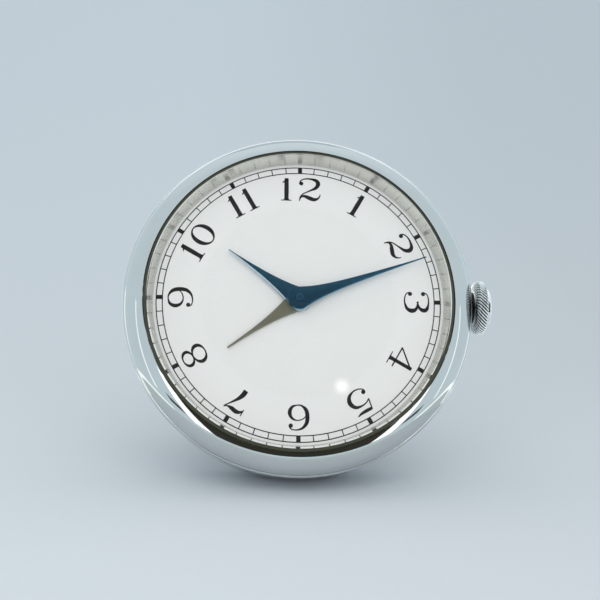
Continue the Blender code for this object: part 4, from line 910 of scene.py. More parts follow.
# Printing on the dial
def smooth_route(points, steps=CURVE_STEPS):
    """Points on a smooth curve through (across, up, width) points."""
    padded = [points[0]] + list(points) + [points[-1]]
    route = []
    for before, start, end, after in zip(padded, padded[1:], padded[2:], padded[3:]):
        for step in range(steps):
            share = step / steps
            route.append(tuple(
                0.5 * (2.0 * b + (c - a) * share + (2.0 * a - 5.0 * b + 4.0 * c - d) * share ** 2 +
                       (3.0 * b - a - 3.0 * c + d) * share ** 3)
                for a, b, c, d in zip(before, start, end, after)))
    return route + [tuple(points[-1])]


def add_ribbon(shaped, route, place, closed=False):
    """A raised ribbon of ink along (across, up, width) points."""
    count = len(route)
    sides = []
    for index, (across, up, width) in enumerate(route):
        before = route[index - 1] if index or closed else route[0]
        after = route[(index + 1) % count] if index + 1 < count or closed else route[-1]
        heading = Vector((after[0] - before[0], after[1] - before[1])).normalized()
        offset = Vector((-heading.y, heading.x)) * width / 2.0
        quad = []
        for side, height in ((1.0, 0.0), (1.0, 1.0), (-1.0, 1.0), (-1.0, 0.0)):
            point = place @ Vector((across + side * offset.x, up + side * offset.y, 0.0))
            quad.append(shaped.verts.new((point.x, point.y, INK_HEIGHT * height)))
        sides.append(quad)
    pairs = list(zip(sides, sides[1:]))
    if closed:
        pairs.append((sides[-1], sides[0]))
    else:
        shaped.faces.new(sides[0])
        shaped.faces.new(sides[-1])
    for near, far in pairs:
        add_wall(shaped, near, far)


def add_ball(shaped, across, up, radius, place):
    """A round dot of ink."""
    low, high = [], []
    for x, y in circle_outline(radius, TINY_STEPS):
        point = place @ Vector((across + x, up + y, 0.0))
        low.append(shaped.verts.new((point.x, point.y, 0.0)))
        high.append(shaped.verts.new((point.x, point.y, INK_HEIGHT)))
    shaped.faces.new(high)
    add_wall(shaped, low, high)


def oval(centre, half_width, half_height, side_width, end_width):
    """A closed stroke, heavy at its sides and thin at its ends."""
    route = []
    for across, up in circle_outline(1.0, SMALL_STEPS):
        width = end_width + (side_width - end_width) * across ** 2
        route.append((centre[0] + (half_width - side_width / 2.0) * across,
                      centre[1] + (half_height - end_width / 2.0) * up, width))
    return route


# Strokes of the numerals in shares of their height, from their middle: (across, up, width)
ONE = {
    "strokes": [
        [(-0.17, 0.3, 0.035), (-0.06, 0.36, 0.06), (0.02, 0.46, 0.09)],
        [(0.005, 0.49, 0.15), (0.005, 0.0, 0.165), (0.005, -0.4, 0.165), (0.005, -0.5, 0.3)],
        [(-0.215, -0.482, 0.036), (0.215, -0.482, 0.036)],
    ],
}
TWO = {
    "strokes": [
        [(-0.42, 0.26, 0.04), (-0.36, 0.4, 0.045), (-0.2, 0.475, 0.05), (0.03, 0.48, 0.07),
         (0.28, 0.4, 0.13), (0.35, 0.25, 0.16), (0.25, 0.08, 0.12), (0.0, -0.05, 0.06),
         (-0.24, -0.17, 0.045), (-0.37, -0.3, 0.045), (-0.42, -0.5, 0.04)],
        [(-0.4, -0.42, 0.04), (-0.33, -0.31, 0.07), (-0.2, -0.29, 0.11), (-0.03, -0.36, 0.15),
         (0.17, -0.43, 0.14), (0.33, -0.39, 0.08), (0.41, -0.3, 0.045), (0.44, -0.2, 0.035)],
    ],
    "balls": [(-0.345, 0.27, 0.085)],
}
THREE = {
    "strokes": [
        [(-0.42, 0.27, 0.035), (-0.33, 0.42, 0.04), (-0.15, 0.48, 0.045), (0.08, 0.475, 0.06),
         (0.29, 0.4, 0.13), (0.34, 0.26, 0.15), (0.24, 0.11, 0.1), (0.03, 0.04, 0.035)],
        [(0.03, 0.04, 0.035), (0.26, -0.01, 0.1), (0.36, -0.18, 0.16), (0.28, -0.38, 0.12),
         (0.04, -0.48, 0.06), (-0.2, -0.475, 0.045), (-0.36, -0.4, 0.04), (-0.42, -0.26, 0.035)],
    ],
    "balls": [(-0.345, 0.27, 0.085), (-0.345, -0.26, 0.085), (0.01, 0.04, 0.045)],
}
FOUR = {
    "strokes": [
        [(0.21, 0.5, 0.06), (-0.41, -0.21, 0.05)],
        [(-0.44, -0.225, 0.05), (0.45, -0.225, 0.05)],
        [(0.17, 0.5, 0.13), (0.17, -0.4, 0.14), (0.17, -0.5, 0.26)],
        [(-0.09, -0.482, 0.036), (0.43, -0.482, 0.036)],
    ],
}
FIVE = {
    "strokes": [
        [(-0.33, 0.44, 0.1), (-0.1, 0.43, 0.12), (0.14, 0.44, 0.09), (0.33, 0.49, 0.03)],
        [(-0.32, 0.47, 0.045), (-0.4, 0.04, 0.045)],
        [(-0.4, 0.05, 0.04), (-0.26, 0.14, 0.045), (-0.04, 0.18, 0.06), (0.22, 0.12, 0.12),
         (0.34, -0.12, 0.16), (0.24, -0.36, 0.12), (0.0, -0.475, 0.055), (-0.24, -0.46, 0.045),
         (-0.39, -0.36, 0.04), (-0.42, -0.26, 0.035)],
    ],
    "balls": [(-0.345, -0.27, 0.085)],
}
SIX = {
    "strokes": [
        [(0.37, 0.32, 0.035), (0.3, 0.44, 0.04), (0.1, 0.485, 0.045), (-0.14, 0.42, 0.08),
         (-0.31, 0.22, 0.13), (-0.345, -0.05, 0.145), (-0.29, -0.3, 0.13), (-0.12, -0.46, 0.065),
         (0.06, -0.48, 0.045), (0.26, -0.4, 0.1), (0.345, -0.19, 0.135), (0.26, 0.02, 0.09),
         (0.06, 0.11, 0.045), (-0.16, 0.06, 0.04), (-0.31, -0.08, 0.03)],
    ],
    "balls": [(0.3, 0.32, 0.085)],
}
SEVEN = {
    "strokes": [
        [(-0.4, 0.48, 0.035), (-0.4, 0.2, 0.035)],
        [(-0.39, 0.26, 0.04), (-0.31, 0.36, 0.1), (-0.16, 0.41, 0.15), (0.04, 0.38, 0.14),
         (0.22, 0.38, 0.06), (0.36, 0.46, 0.035)],
        [(0.36, 0.44, 0.035), (0.19, 0.2, 0.055), (0.03, -0.04, 0.11), (-0.07, -0.27, 0.17),
         (-0.09, -0.49, 0.17)],
    ],
}
EIGHT = {
    "closed": [
        oval((0.0, 0.265), 0.345, 0.23, 0.115, 0.045),
        oval((0.0, -0.215), 0.405, 0.28, 0.13, 0.045),
    ],
}
ZERO = {"closed": [oval((0.0, 0.0), 0.42, 0.5, 0.155, 0.045)]}
# Figures of each hour: (figure, shift in shares of its height, turn)
HOUR_FIGURES = [[(figure, 0.0, 0.0)] for figure in (ONE, TWO, THREE, FOUR, FIVE, SIX, SEVEN, EIGHT)]
HOUR_FIGURES += [
    [(SIX, 0.0, 180.0)],
    [(ONE, -0.5, 0.0), (ZERO, 0.34, 0.0)],
    [(ONE, -0.33, 0.0), (ONE, 0.33, 0.0)],
    [(ONE, -0.56, 0.0), (TWO, 0.4, 0.0)],
]


def heavier(route):
    return [(across, up, width * NUMERAL_WEIGHT) for across, up, width in route]


def add_figure(shaped, figure, place):
    for stroke in figure.get("strokes", []):
        add_ribbon(shaped, heavier(smooth_route(stroke) if len(stroke) > 2 else stroke), place)
    for loop in figure.get("closed", []):
        add_ribbon(shaped, heavier(loop), place, closed=True)
    for across, up, radius in figure.get("balls", []):
        add_ball(shaped, across, up, radius, place)


def make_printing():
    """Minute track and hour figures, each turned with its hour."""
    shaped = bmesh.new()
    inner = TRACK_RADIUS - TRACK_WIDTH
    for radius in (TRACK_RADIUS, inner):
        route = [(*point, TRACK_LINE) for point in circle_outline(radius, RING_STEPS)]
        add_ribbon(shaped, route, Matrix(), closed=True)
    for minute in range(MINUTES):
        width = HOUR_BLOCK if minute % (MINUTES // HOURS) == 0 else TICK_LINE
        ends = [(*at_clock(radius, 360.0 * minute / MINUTES), width)
                for radius in (inner, TRACK_RADIUS)]
        add_ribbon(shaped, ends, Matrix())
    bring_in("minute_track", shaped, "case", dial_ink)

    shaped = bmesh.new()
    for hour, figures in enumerate(HOUR_FIGURES, 1):
        degrees = 360.0 * hour / HOURS
        upright = (shifted(*at_clock(NUMERAL_RADIUS, degrees)) @ spun(-degrees) @
                   Matrix.Diagonal((NUMERAL_HEIGHT, NUMERAL_HEIGHT, 1.0, 1.0)))
        for figure, shift, turn in figures:
            add_figure(shaped, figure, upright @ shifted(shift) @ spun(turn))
    bring_in("hour_figures", shaped, "case", dial_ink)


# Hands
def hand_outline(length, shape, inset):
    """Outline of a hand round a round hub, drawn in by a share of its sloped side."""
    tip, blade, flare = shape

    def half_width(distance):
        left = 1.0 - distance / length
        width = (tip + blade * left ** BLADE_TAPER +
                 (HAND_HUB_RADIUS - tip - blade) * left ** flare)
        return width - inset * min(HAND_SLOPE, HAND_SLOPE_SHARE * width)

    reach = length - inset * HAND_SLOPE
    stations = [reach * (step / HAND_STEPS) ** HAND_CROWDING for step in range(HAND_STEPS + 1)]
    right = [(half_width(distance), distance) for distance in stations]
    left = [(-half_width(distance), distance) for distance in reversed(stations)]
    hub_radius = HAND_HUB_RADIUS - inset * HAND_SLOPE
    hub = [polar(hub_radius, 180.0 + 180.0 * step / SMALL_STEPS) for step in range(1, SMALL_STEPS)]
    return right + left + hub


def make_blade(shaped, length, shape, bore, low, high, turn):
    """A hand with a flat face, sides that slope out a little and a bore; its sides take slot 1."""
    def loop(points, height):
        return [shaped.verts.new(turn @ Vector((across, up, height))) for across, up in points]

    rims = [loop(hand_outline(length, shape, inset), height)
            for height, inset in ((low, 0.0), (high - SEAT, HAND_EDGE_INSET), (high, 1.0))]
    holes = [loop(circle_outline(bore, SMALL_STEPS), height) for height in (low, high)]
    for near, far in (*zip(rims, rims[1:]), holes):
        add_wall(shaped, near, far, slot=1)
    for rim, hole in ((rims[0], holes[0]), (rims[-1], holes[1])):
        edges = [shaped.edges.get((ring[index - 1], ring[index])) for ring in (rim, hole)
                 for index in range(len(ring))]
        bmesh.ops.triangle_fill(shaped, use_beauty=True, edges=edges)


def make_hands():
    """Alarm, hour and minute hand, from the dial outward, and the cap over them."""
    # The hour hand's sides take a pale copy of the blued steel as a painted highlight, the minute
    # hand's a darker copy as painted shade
    hands = (
        ("alarm", "alarm_grey", alarm_satin, alarm_satin, ALARM_HAND_LENGTH, ALARM_HAND_SHAPE,
         ALARM_DEGREES),
        ("hour", "blued_steel", blued_steel, hour_side_painted_highlight, HOUR_HAND_LENGTH, HOUR_HAND_SHAPE,
         HOUR_DEGREES),
        ("minute", "blued_steel", blued_steel, minute_side_painted_shade, MINUTE_HAND_LENGTH, MINUTE_HAND_SHAPE,
         MINUTE_DEGREES),
    )
    for level, (body, slot, face, side, length, shape, degrees) in enumerate(hands):
        middle = ALARM_HAND_HEIGHT + level * HAND_LIFT
        bore = ARBOR_RADIUS + (2.0 - level) * PIPE_STEP + SEAT
        low = middle - HAND_THICKNESS / 2.0 - HAND_DEEPER
        shaped = bmesh.new()
        make_blade(shaped, length, shape, bore, low, middle + HAND_THICKNESS / 2.0, spun(-degrees))
        hand = bring_in(body + "_pointer", shaped, body, face, [body + "_hand"])
        hand.data.materials.append(side)
    base = ALARM_HAND_HEIGHT + 2.0 * HAND_LIFT + HAND_THICKNESS / 2.0 + SEAT
    top = base + CAP_HEIGHT
    profile = [
        (0.0, top),
        *arc_points((CAP_RADIUS / 3.0, top), (CAP_RADIUS, base + CAP_HEIGHT / 3.0),
                    -CAP_TURN_DEGREES, CAP_STEPS),
        (CAP_RADIUS, base),
        (0.0, base),
    ]
    bring_turned("centre_cap", profile, cap_steel, ["hand_cap"], body="minute",
                 steps=SMALL_STEPS)


# Crown
def crown_sections():
    """The crown from its back to its end: (along, radius, share of the ridges, how light it is
    painted, low values being painted shade).
    """
    def rounded(start, along, out, reach, rise, steps, fading=0.0, ridges=1.0):
        for step in range(steps + 1):
            x, y = polar(1.0, start - 90.0 * step / steps)
            share = ridges - fading * step / steps
            sections.append((along + reach * x, out + rise * y, share, 1.0))

    back_radius = CROWN_RADIUS - CROWN_SHOULDER_OUT
    sections = [(0.0, TUBE_RADIUS + FREE, 0.0, CROWN_BORE_PAINTED_LIGHT),
                (0.0, back_radius - FREE, 0.0, CROWN_BACK_PAINTED_LIGHT)]
    rounded(180.0, CROWN_SHOULDER, back_radius, CROWN_SHOULDER, CROWN_SHOULDER_OUT,
            CROWN_EDGE_STEPS)
    barrel_end_along = CROWN_WIDTH - CROWN_ROUNDING
    for step in range(1, CROWN_BARREL_STEPS):
        share = step / CROWN_BARREL_STEPS
        along = CROWN_SHOULDER + (barrel_end_along - CROWN_SHOULDER) * share
        sections.append((along, CROWN_RADIUS, 1.0, 1.0))
    rounded(90.0, barrel_end_along, CROWN_RADIUS - CROWN_ROUNDING, CROWN_ROUNDING, CROWN_ROUNDING,
            CROWN_EDGE_STEPS, fading=0.5)
    sections.append((CROWN_WIDTH, BOSS_RADIUS, 0.0, 1.0))
    edge = CROWN_ROUNDING / 2.0
    rounded(90.0, CROWN_WIDTH + BOSS_HEIGHT - edge, BOSS_RADIUS - edge, edge, edge, BOSS_STEPS,
            ridges=0.0)
    return sections


def make_crown():
    """Barrel with slanted round ridges that run over both edges, and a smooth end."""
    steps = CROWN_RIDGES * CROWN_RIDGE_STEPS
    shaped = bmesh.new()
    painted_light = shaped.verts.layers.float.new("painted_light")
    rings = []
    for along, radius, share, brightness in crown_sections():
        twist = CROWN_TWIST_DEGREES * along / CROWN_WIDTH
        ring = []
        for step in range(steps):
            wave = abs(math.sin(math.pi * step * CROWN_RIDGES / steps))
            here = radius - CROWN_RIDGE_DEPTH * share * (1.0 - wave ** CROWN_RIDGE_POWER)
            across, up = polar(here, twist + 360.0 * step / steps)
            vertex = shaped.verts.new((across, up, crown_start + along))
            # Painted shade: lighter on the crests, darker in the grooves and on the bore and back
            # face
            vertex[painted_light] = brightness * (1.0 - share * (1.0 - wave))
            ring.append(vertex)
        rings.append(ring)
    for level, (near, far) in enumerate(zip(rings, rings[1:])):
        # The back face takes the near-black material as painted shadow
        add_wall(shaped, near, far, slot=1 if level < 2 else 0)
    shaped.faces.new(rings[-1])
    socket_depth = crown_start + CROWN_WIDTH / 2.0
    deep = [shaped.verts.new((vertex.co.x, vertex.co.y, socket_depth)) for vertex in rings[0]]
    add_wall(shaped, rings[0], deep)
    shaped.faces.new(deep)
    crown = bring_in("knurled_crown", shaped, "crown", crown_steel, ["crown"],
                     STEM)
    crown.data.materials.append(crown_painted_shadow)


def make_tube():
    inner, outer = measured("crown_tube", 0)
    bore = STEM_RADIUS + FIT
    profile = [(bore, outer - FIT), (bore + FIT, outer), (TUBE_RADIUS - FIT, outer),
               (TUBE_RADIUS, outer - FIT), (TUBE_RADIUS, inner), (bore, inner)]
    bring_turned("stem_tube", profile, screw_steel, ["crown_tube"], holder=STEM,
                 steps=SMALL_STEPS)


# Back of the clock
def hatch_opening():
    """Round opening with the two notches that let the hatch's lugs pass."""
    radius = hatch_radius + FREE
    half = HATCH_LUG_WIDTH / 2.0 + FREE
    reach = lug_reach + FREE
    start = math.degrees(math.asin(half / radius))
    steps = PLATE_STEPS // 2
    points = []
    for side, flip in ((0.0, -1.0), (180.0, 1.0)):
        for step in range(steps + 1):
            points.append(polar(radius, side + start + (180.0 - 2.0 * start) * step / steps))
        points += [(flip * reach, -flip * half), (flip * reach, flip * half)]
    turn = Matrix.Rotation(math.radians(-HATCH_TURN_DEGREES), 2)
    return [tuple(turn @ Vector(point) + hatch_place.xy) for point in points]


def slotted_head(shaped, place, base, turn_degrees):
    """A round screw head with a straight slot, its top towards -z."""
    turn = shifted(*place) @ spun(turn_degrees)
    floor = base - SCREW_HEAD_HEIGHT + SCREW_SLOT_DEPTH
    edge = SCREW_SLOT_WIDTH / 5.0
    stamped(shaped, [circle_outline(SCREW_HEAD_RADIUS, SMALL_STEPS)], floor, base, edge, turn)
    half_turn = math.degrees(math.acos(SCREW_SLOT_WIDTH / 2.0 / SCREW_HEAD_RADIUS))
    for side in (0.0, 180.0):
        start = side + 90.0 - half_turn
        rim = [polar(SCREW_HEAD_RADIUS, start + 2.0 * half_turn * step / TINY_STEPS)
               for step in range(TINY_STEPS + 1)]
        stamped(shaped, [rim], base - SCREW_HEAD_HEIGHT, floor + edge, edge, turn)


def screw_holes(places):
    return [circle_outline(SCREW_SHANK_RADIUS + SEAT, TINY_STEPS, place) for place in places]


def make_back():
    screws = [polar(back_recess_radius - SCREW_CIRCLE_INSET, 360.0 * (number + 0.5) / SCREW_COUNT)
              for number in range(SCREW_COUNT)]
    buzzer_x, buzzer_y = [sum(measured("buzzer", axis)) / 2.0 for axis in (0, 1)]
    outlines = [circle_outline(back_plate_radius, PLATE_STEPS), hatch_opening()]
    outlines += screw_holes(screws + bracket_screws)
    for number in range(SOUND_HOLE_COUNT):
        across, up = polar(SOUND_HOLE_CIRCLE, 90.0 + 360.0 * number / SOUND_HOLE_COUNT)
        outlines.append(
            circle_outline(SOUND_HOLE_RADIUS, TINY_STEPS, (buzzer_x + across, buzzer_y + up)))
    outlines.append(rounded_outline(
        SWITCH_WIDTH + 2.0 * FREE, SWITCH_LENGTH + SWITCH_TRAVEL + 2.0 * FREE, FREE,
        (switch_x, switch_y + SWITCH_TRAVEL / 2.0), SLOT_CORNER_STEPS))
    shaped = bmesh.new()
    stamped(shaped, outlines, back_face, back_plate_inner, PLATE_EDGE)
    bring_in("back_plate", shaped, "case", back_steel, ["case_back"])

    seat = back_face - SEAT
    for name, node, places, base, turn in (
            ("plate_screw_%d", "back_screw_%d", screws, seat, PLATE_SCREW_TURN_DEGREES),
            ("hinge_screw_%d", "bracket_screw_%d", bracket_screws, seat - BRACKET_BASE - SEAT,
             HINGE_SCREW_TURN_DEGREES)):
        for number, place in enumerate(places, 1):
            shaped = bmesh.new()
            slotted_head(shaped, place, base, SCREW_SLOT_DEGREES + turn * number)
            bring_in(name % number, shaped, "case", screw_steel, [node % number])


def make_hatch():
    shift = shifted(hatch_place.x, hatch_place.y)
    rim = circle_outline(hatch_radius, PLATE_STEPS)
    coin_slot = rounded_outline(COIN_SLOT_LENGTH, COIN_SLOT_WIDTH, COIN_SLOT_WIDTH / 2.0 - FIT)
    floor = back_face + COIN_SLOT_DEPTH
    lug = rounded_outline(2.0 * lug_reach, HATCH_LUG_WIDTH, FREE)
    lug_low = back_plate_inner + FREE
    lug_high = min(lug_low + HATCH_LUG_THICKNESS, measured("battery_hatch", 2)[1])
    shaped = bmesh.new()
    stamped(shaped, [rim, coin_slot], back_face, floor + PLATE_EDGE, PLATE_EDGE, shift)
    stamped(shaped, [rim], floor, back_face + HATCH_THICKNESS, PLATE_EDGE, shift)
    stamped(shaped, [lug], lug_low, lug_high, SEAT, shift)
    bring_in("coin_hatch", shaped, "hatch", hatch_steel, ["battery_hatch"])


def make_switch():
    low, high = measured("alarm_switch", 2)
    middle = (switch_x, switch_y)
    edges = 2.0 * SWITCH_FLANGE
    flange = rounded_outline(SWITCH_WIDTH + edges, SWITCH_LENGTH + edges, FREE, middle)
    shaped = bmesh.new()
    stamped(shaped, [rounded_outline(SWITCH_WIDTH, SWITCH_LENGTH, FREE, middle)],
            low + FREE, high, SEAT)
    stamped(shaped, [flange], high - SWITCH_FLANGE_THICKNESS, high, SEAT)
    for rib in range(SWITCH_RIBS):
        up = switch_y + SWITCH_LENGTH * ((rib + 0.5) / SWITCH_RIBS - 0.5)
        bar = rounded_outline(SWITCH_WIDTH - FIT, SWITCH_LENGTH / SWITCH_RIBS - FREE, FIT,
                              (switch_x, up))
        stamped(shaped, [bar], low, low + 2.0 * FREE, FIT)
    bring_in("alarm_slider", shaped, "switch", black_plastic, ["alarm_switch"])


# Bracket, pin, strut and its foot
def make_bracket():
    seat = back_face - SEAT
    plate = rounded_outline(2.0 * ear_outer, BRACKET_HEIGHT, FREE, (0.0, bracket_middle))
    shaped = bmesh.new()
    stamped(shaped, [plate, *screw_holes(bracket_screws)], seat - BRACKET_BASE, seat, SEAT)
    tip = hinge_place.z - EAR_REACH
    low = hinge_place.y - EAR_REACH
    half_reach = EAR_REACH / 2.0
    outline = [
        (low, seat),
        *arc_points((low, hinge_place.z - half_reach), (low + half_reach, tip), 90.0,
                    EAR_ROUND_STEPS),
        *arc_points((hinge_place.y + half_reach, tip),
                    (hinge_place.y + EAR_REACH, tip + EAR_REACH / 3.0), EAR_TURN_DEGREES,
                    EAR_SLOPE_STEPS),
        (bracket_high, seat - BRACKET_BASE),
        (bracket_high, seat),
    ]
    bore = circle_outline(PIN_RADIUS + SEAT, SMALL_STEPS, hinge_place.yz)
    for near in (ear_inner, -ear_outer):
        stamped(shaped, [outline, bore], near, near + EAR_THICKNESS, FIT, EDGE_ON)
    bring_in("hinge_bracket", shaped, "case", back_steel, ["strut_bracket"])


def make_pin():
    head = ear_outer + SEAT
    cap = head + PIN_HEAD_LENGTH
    rounded = PIN_HEAD_RADIUS - FREE
    profile = [
        (0.0, -cap),
        *arc_points((rounded, -cap), (PIN_HEAD_RADIUS, FREE - cap), 90.0, PIN_STEPS),
        (PIN_HEAD_RADIUS, -head),
        (PIN_RADIUS, -head),
        (PIN_RADIUS, head),
        (PIN_HEAD_RADIUS, head),
        *arc_points((PIN_HEAD_RADIUS, cap - FREE), (rounded, cap), 90.0, PIN_STEPS),
        (0.0, cap),
    ]
    bring_turned("strut_pin", profile, screw_steel, ["hinge_pin"], steps=SMALL_STEPS,
                 place=Matrix.Translation(hinge_place) @ spun(90.0, "Y"))


def make_strut():
    """Tapered plate with a knuckle round the pin, and the rubber shoe on its end."""
    lean = math.asin(upward.y)
    opened = math.radians(STRUT_OPEN_DEGREES)
    length = Vector(joints["strut_fold"]["pos_m"]).z / math.cos(opened - lean)
    half = STRUT_THICKNESS / 2.0
    heel = (back_face - hinge_place.z - FIT - half * math.cos(opened)) / math.sin(opened)
    half_neck = KNUCKLE_LENGTH / 2.0
    half_wide = STRUT_WIDTH / 2.0
    half_foot = STRUT_FOOT_WIDTH / 2.0
    shoulder = -KNUCKLE_RADIUS - STRUT_NECK
    shoulder_top = shoulder + STRUT_CORNER / 2.0
    foot = -length + FOOT_PAD_LENGTH / 2.0
    right = [
        (half_neck, heel),
        (half_neck, shoulder_top),
        *arc_points((half_wide - STRUT_CORNER / 2.0, shoulder_top),
                    (half_wide, shoulder - STRUT_CORNER),
                    -STRUT_SHOULDER_TURN_DEGREES, STRUT_STEPS),
        *arc_points((half_foot, foot + STRUT_CORNER), (half_foot - STRUT_CORNER, foot),
                    -STRUT_FOOT_TURN_DEGREES, STRUT_STEPS),
    ]
    left = [(-across, up) for across, up in reversed(right)]
    shaped = bmesh.new()
    stamped(shaped, [right + left], -half, half, FREE)
    bore = PIN_RADIUS + FIT
    rounded = KNUCKLE_RADIUS - FREE
    profile = [
        (bore, half_neck - FIT),
        (bore + FIT, half_neck),
        *arc_points((rounded, half_neck), (KNUCKLE_RADIUS, half_neck - FREE), -90.0,
                    ROUNDING_STEPS),
        *arc_points((KNUCKLE_RADIUS, FREE - half_neck), (rounded, -half_neck), -90.0,
                    ROUNDING_STEPS),
        (bore + FIT, -half_neck),
        (bore, FIT - half_neck),
    ]
    turned(shaped, profile, SMALL_STEPS, spun(90.0, "Y"))
    bring_in("rear_strut", shaped, "strut", strut_steel, ["strut"], HINGE)

    outer = (STRUT_THICKNESS + 2.0 * FOOT_PAD_WALL) / 2.0
    bottom = -length - 2.0 * outer
    top = -length + FOOT_PAD_LENGTH
    pocket = foot - SEAT
    gap = half + SEAT
    outline = [(top, gap), (top, outer), (bottom, outer), (bottom, -outer), (top, -outer),
               (top, -gap), (pocket, -gap), (pocket, gap)]
    half_width = (STRUT_FOOT_WIDTH - STRUT_CORNER) / 2.0
    shaped = bmesh.new()
    stamped(shaped, [outline], -half_width, half_width, FIT, EDGE_ON)
    bmesh.ops.remove_doubles(shaped, verts=shaped.verts, dist=MERGE)
    cut_below_ground(shaped, HINGE)
    bring_in("strut_shoe", shaped, "strut", black_rubber, ["strut_foot"], HINGE)


# Materials of the nodes that stay as they are
KEPT = (
    (wheel_brass, "alarm_wheel hour_wheel minute_wheel setting_wheel buzzer"),
    (plate_brass, "battery_contact front_plate rear_plate"),
    (movement_steel, "cannon_arbor minute_wheel_stud setting_wheel_stud clutch_pinion stem_detent "
                     "pillar_1 pillar_2 pillar_3 pillar_4 stator rotor"),
    (screw_steel, "stem"),
    (white_plastic, "movement_ring"),
    (copper_winding, "coil"),
    (board_green, "circuit_board"),
    (black_plastic, "battery_tray"),
    (battery_steel, "battery"),
    (black_rubber, "back_gasket"),
)


def finish_kept_nodes():
    for material, names in KEPT:
        for name in names.split():
            materials = frame["nodes"][name].data.materials
            materials.clear()
            materials.append(material)


make_bezel()
make_case()
make_crystal()
make_gasket()
make_rehaut()
make_dial()
make_hobnail()
make_printing()
make_hands()
make_crown()
make_tube()
make_back()
make_hatch()
make_switch()
make_bracket()
make_pin()
make_strut()
finish_kept_nodes()


# Camera
def make_camera():
    """Aim from the dial as it shows: forward distance, rise, side turn and roll."""
    seen = dial_centre + outward * GLASS_LIFT
    turn = (spun(-CAMERA_RISE_DEGREES, "X").to_3x3() @ spun(CAMERA_SIDE_DEGREES).to_3x3() @
            spun(CAMERA_ROLL_DEGREES, "Y").to_3x3())
    dial_axes = Matrix((rightward, -outward, upward)).transposed()
    right, forward, up = (dial_axes @ turn.transposed()).transposed()
    data = bpy.data.cameras.new("camera")
    data.lens = CAMERA_LENS
    data.sensor_width = CAMERA_SENSOR
    data.shift_x, data.shift_y = CAMERA_SHIFT
    data.clip_start = CAMERA_NEAR
    camera = add_object("camera", data)
    camera.matrix_world = frame_of(right, up, -forward, seen - forward * CAMERA_DISTANCE)
    scene.camera = camera


# Studio: a small pale tent with a dark opening in front, and a sheet that curves up behind
SHEET_FRONT = -0.6
SHEET_HALF_WIDTH = 1.6
SHEET_COLUMNS = (-1.0, -0.4, 0.0, 0.4, 1.0)
WALL_DISTANCE = 0.75
WALL_BEND = 0.65
WALL_BEND_STEPS = 24
WALL_HEIGHT = 0.75
PLATFORM_HALF_WIDTH = 0.055
PLATFORM_FRONT = -0.03
PLATFORM_BACK = 0.07
PLATFORM_LIFT = 0.01 * MM
# The far paper colour is darker as painted shade toward the wall behind
PAPER_NEAR = srgb(207, 216, 223)
PAPER_FAR = srgb(191, 205, 214)
PAPER_GRAIN_SCALE = 900.0
PAPER_ROUGHNESS = 0.6
CARD_DISTANCE = 0.6
OPENING_DISTANCE = 0.7
CARD_COLUMNS, CARD_ROWS = 12, 6
CARD_CLOUD_SCALE = 4.0
CARD_DIMMEST, CARD_BRIGHTEST = 0.9, 1.1
LAMP_PLACE = (0.053, -0.352, 0.223)
LAMP_SIZE = 0.0083
LAMP_COLOUR = (1.0, 0.94, 0.86)
LAMP_GLOW = 5.0
DAYLIGHT = 1.05
BRIGHT_SIDE = (0.0, 0.42, 0.91)
# What metal sees of the tent's walls, from below to above: (height share, colour)
TENT_STOPS = ((0.065, (193, 205, 210)), (0.15, (200, 211, 216)), (0.31, (207, 220, 220)),
              (0.325, (221, 237, 244)), (0.65, (221, 237, 244)), (0.95, (224, 237, 243)))
# Lamps: (name, place, size, watts, colour, shape)
LAMPS = (
    ("overhead_box", (0.0, 0.1, 1.0), (1.6, 1.2), 2.4, (1.0, 0.995, 0.985), "RECTANGLE"),
    ("front_fill", (0.0, -0.5, 0.36), (0.8, 0.5), 1.7, (1.0, 0.995, 0.98), "RECTANGLE"),
    ("small_lamp", LAMP_PLACE, (LAMP_SIZE, LAMP_SIZE), 0.001, LAMP_COLOUR, "DISK"),
)
# Light of the cards: (name, colour, strength)
CARD_LIGHTS = (
    ("opening_dark", (255, 250, 225), 0.045),
    ("opening_dim", (240, 245, 255), 0.1),
    ("panel_white", (255, 255, 255), 1.9),
    ("strip_white", (250, 255, 255), 1.45),
    ("rim_white", (255, 255, 255), 1.35),
    ("rim_bright", (255, 255, 255), 2.1),
    ("wall_pale", (204, 217, 226), 1.0),
)
# Cards: (name, light, azimuths, elevations); azimuth 0 is in front and grows to the right
MIDDLE_CARDS = (
    ("opening_low", "opening_dark", (-27.0, 28.0), (-17.0, 9.0)),
    ("opening_high", "opening_dim", (-30.0, 30.0), (9.0, 62.0)),
    ("wall_behind", "wall_pale", (163.0, 200.0), (26.0, 52.0)),
    ("rim_behind", "rim_bright", (160.0, 201.0), (-8.0, 14.0)),
    ("rim_above", "rim_white", (160.0, 201.0), (14.0, 26.0)),
)
# Cards on each side, with azimuths that grow outward
SIDE_CARDS = (
    ("panel_%s", "panel_white", (28.0, 37.0), (-16.0, 14.0)),
    ("strip_%s", "strip_white", (66.0, 70.0), (-15.0, 22.0)),
    ("gap_%s", "opening_dim", (39.0, 50.0), (-12.0, -7.0)),
    ("edge_%s", "strip_white", (58.0, 140.0), (-23.0, -20.5)),
    ("rim_%s_0", "rim_white", (129.0, 137.0), (-21.0, 2.0)),
    ("rim_%s_1", "rim_white", (120.0, 128.0), (-43.0, -20.0)),
    ("rim_%s_2", "rim_white", (106.0, 114.0), (-66.0, -43.0)),
)


def glowing(name, colour, strength):
    """A material that only glows, with a strength that is worked out from the place on it."""
    material = bpy.data.materials.new(name)
    material.use_nodes = True
    tree = material.node_tree
    tree.nodes.clear()
    output = tree.nodes.new("ShaderNodeOutputMaterial")
    emission = add_node(tree, "ShaderNodeEmission", {
        "Color": colour, "Strength": strength(tree, coordinate(tree))})
    feed(tree, output, {"Surface": emission.outputs["Emission"]})
    material.cycles.emission_sampling = "NONE"
    return material


def only_in_metal(piece):
    """Something of the studio that polished metal and glass mirror, and nothing else shows."""
    piece.visible_camera = False
    piece.visible_diffuse = False
    piece.visible_shadow = False


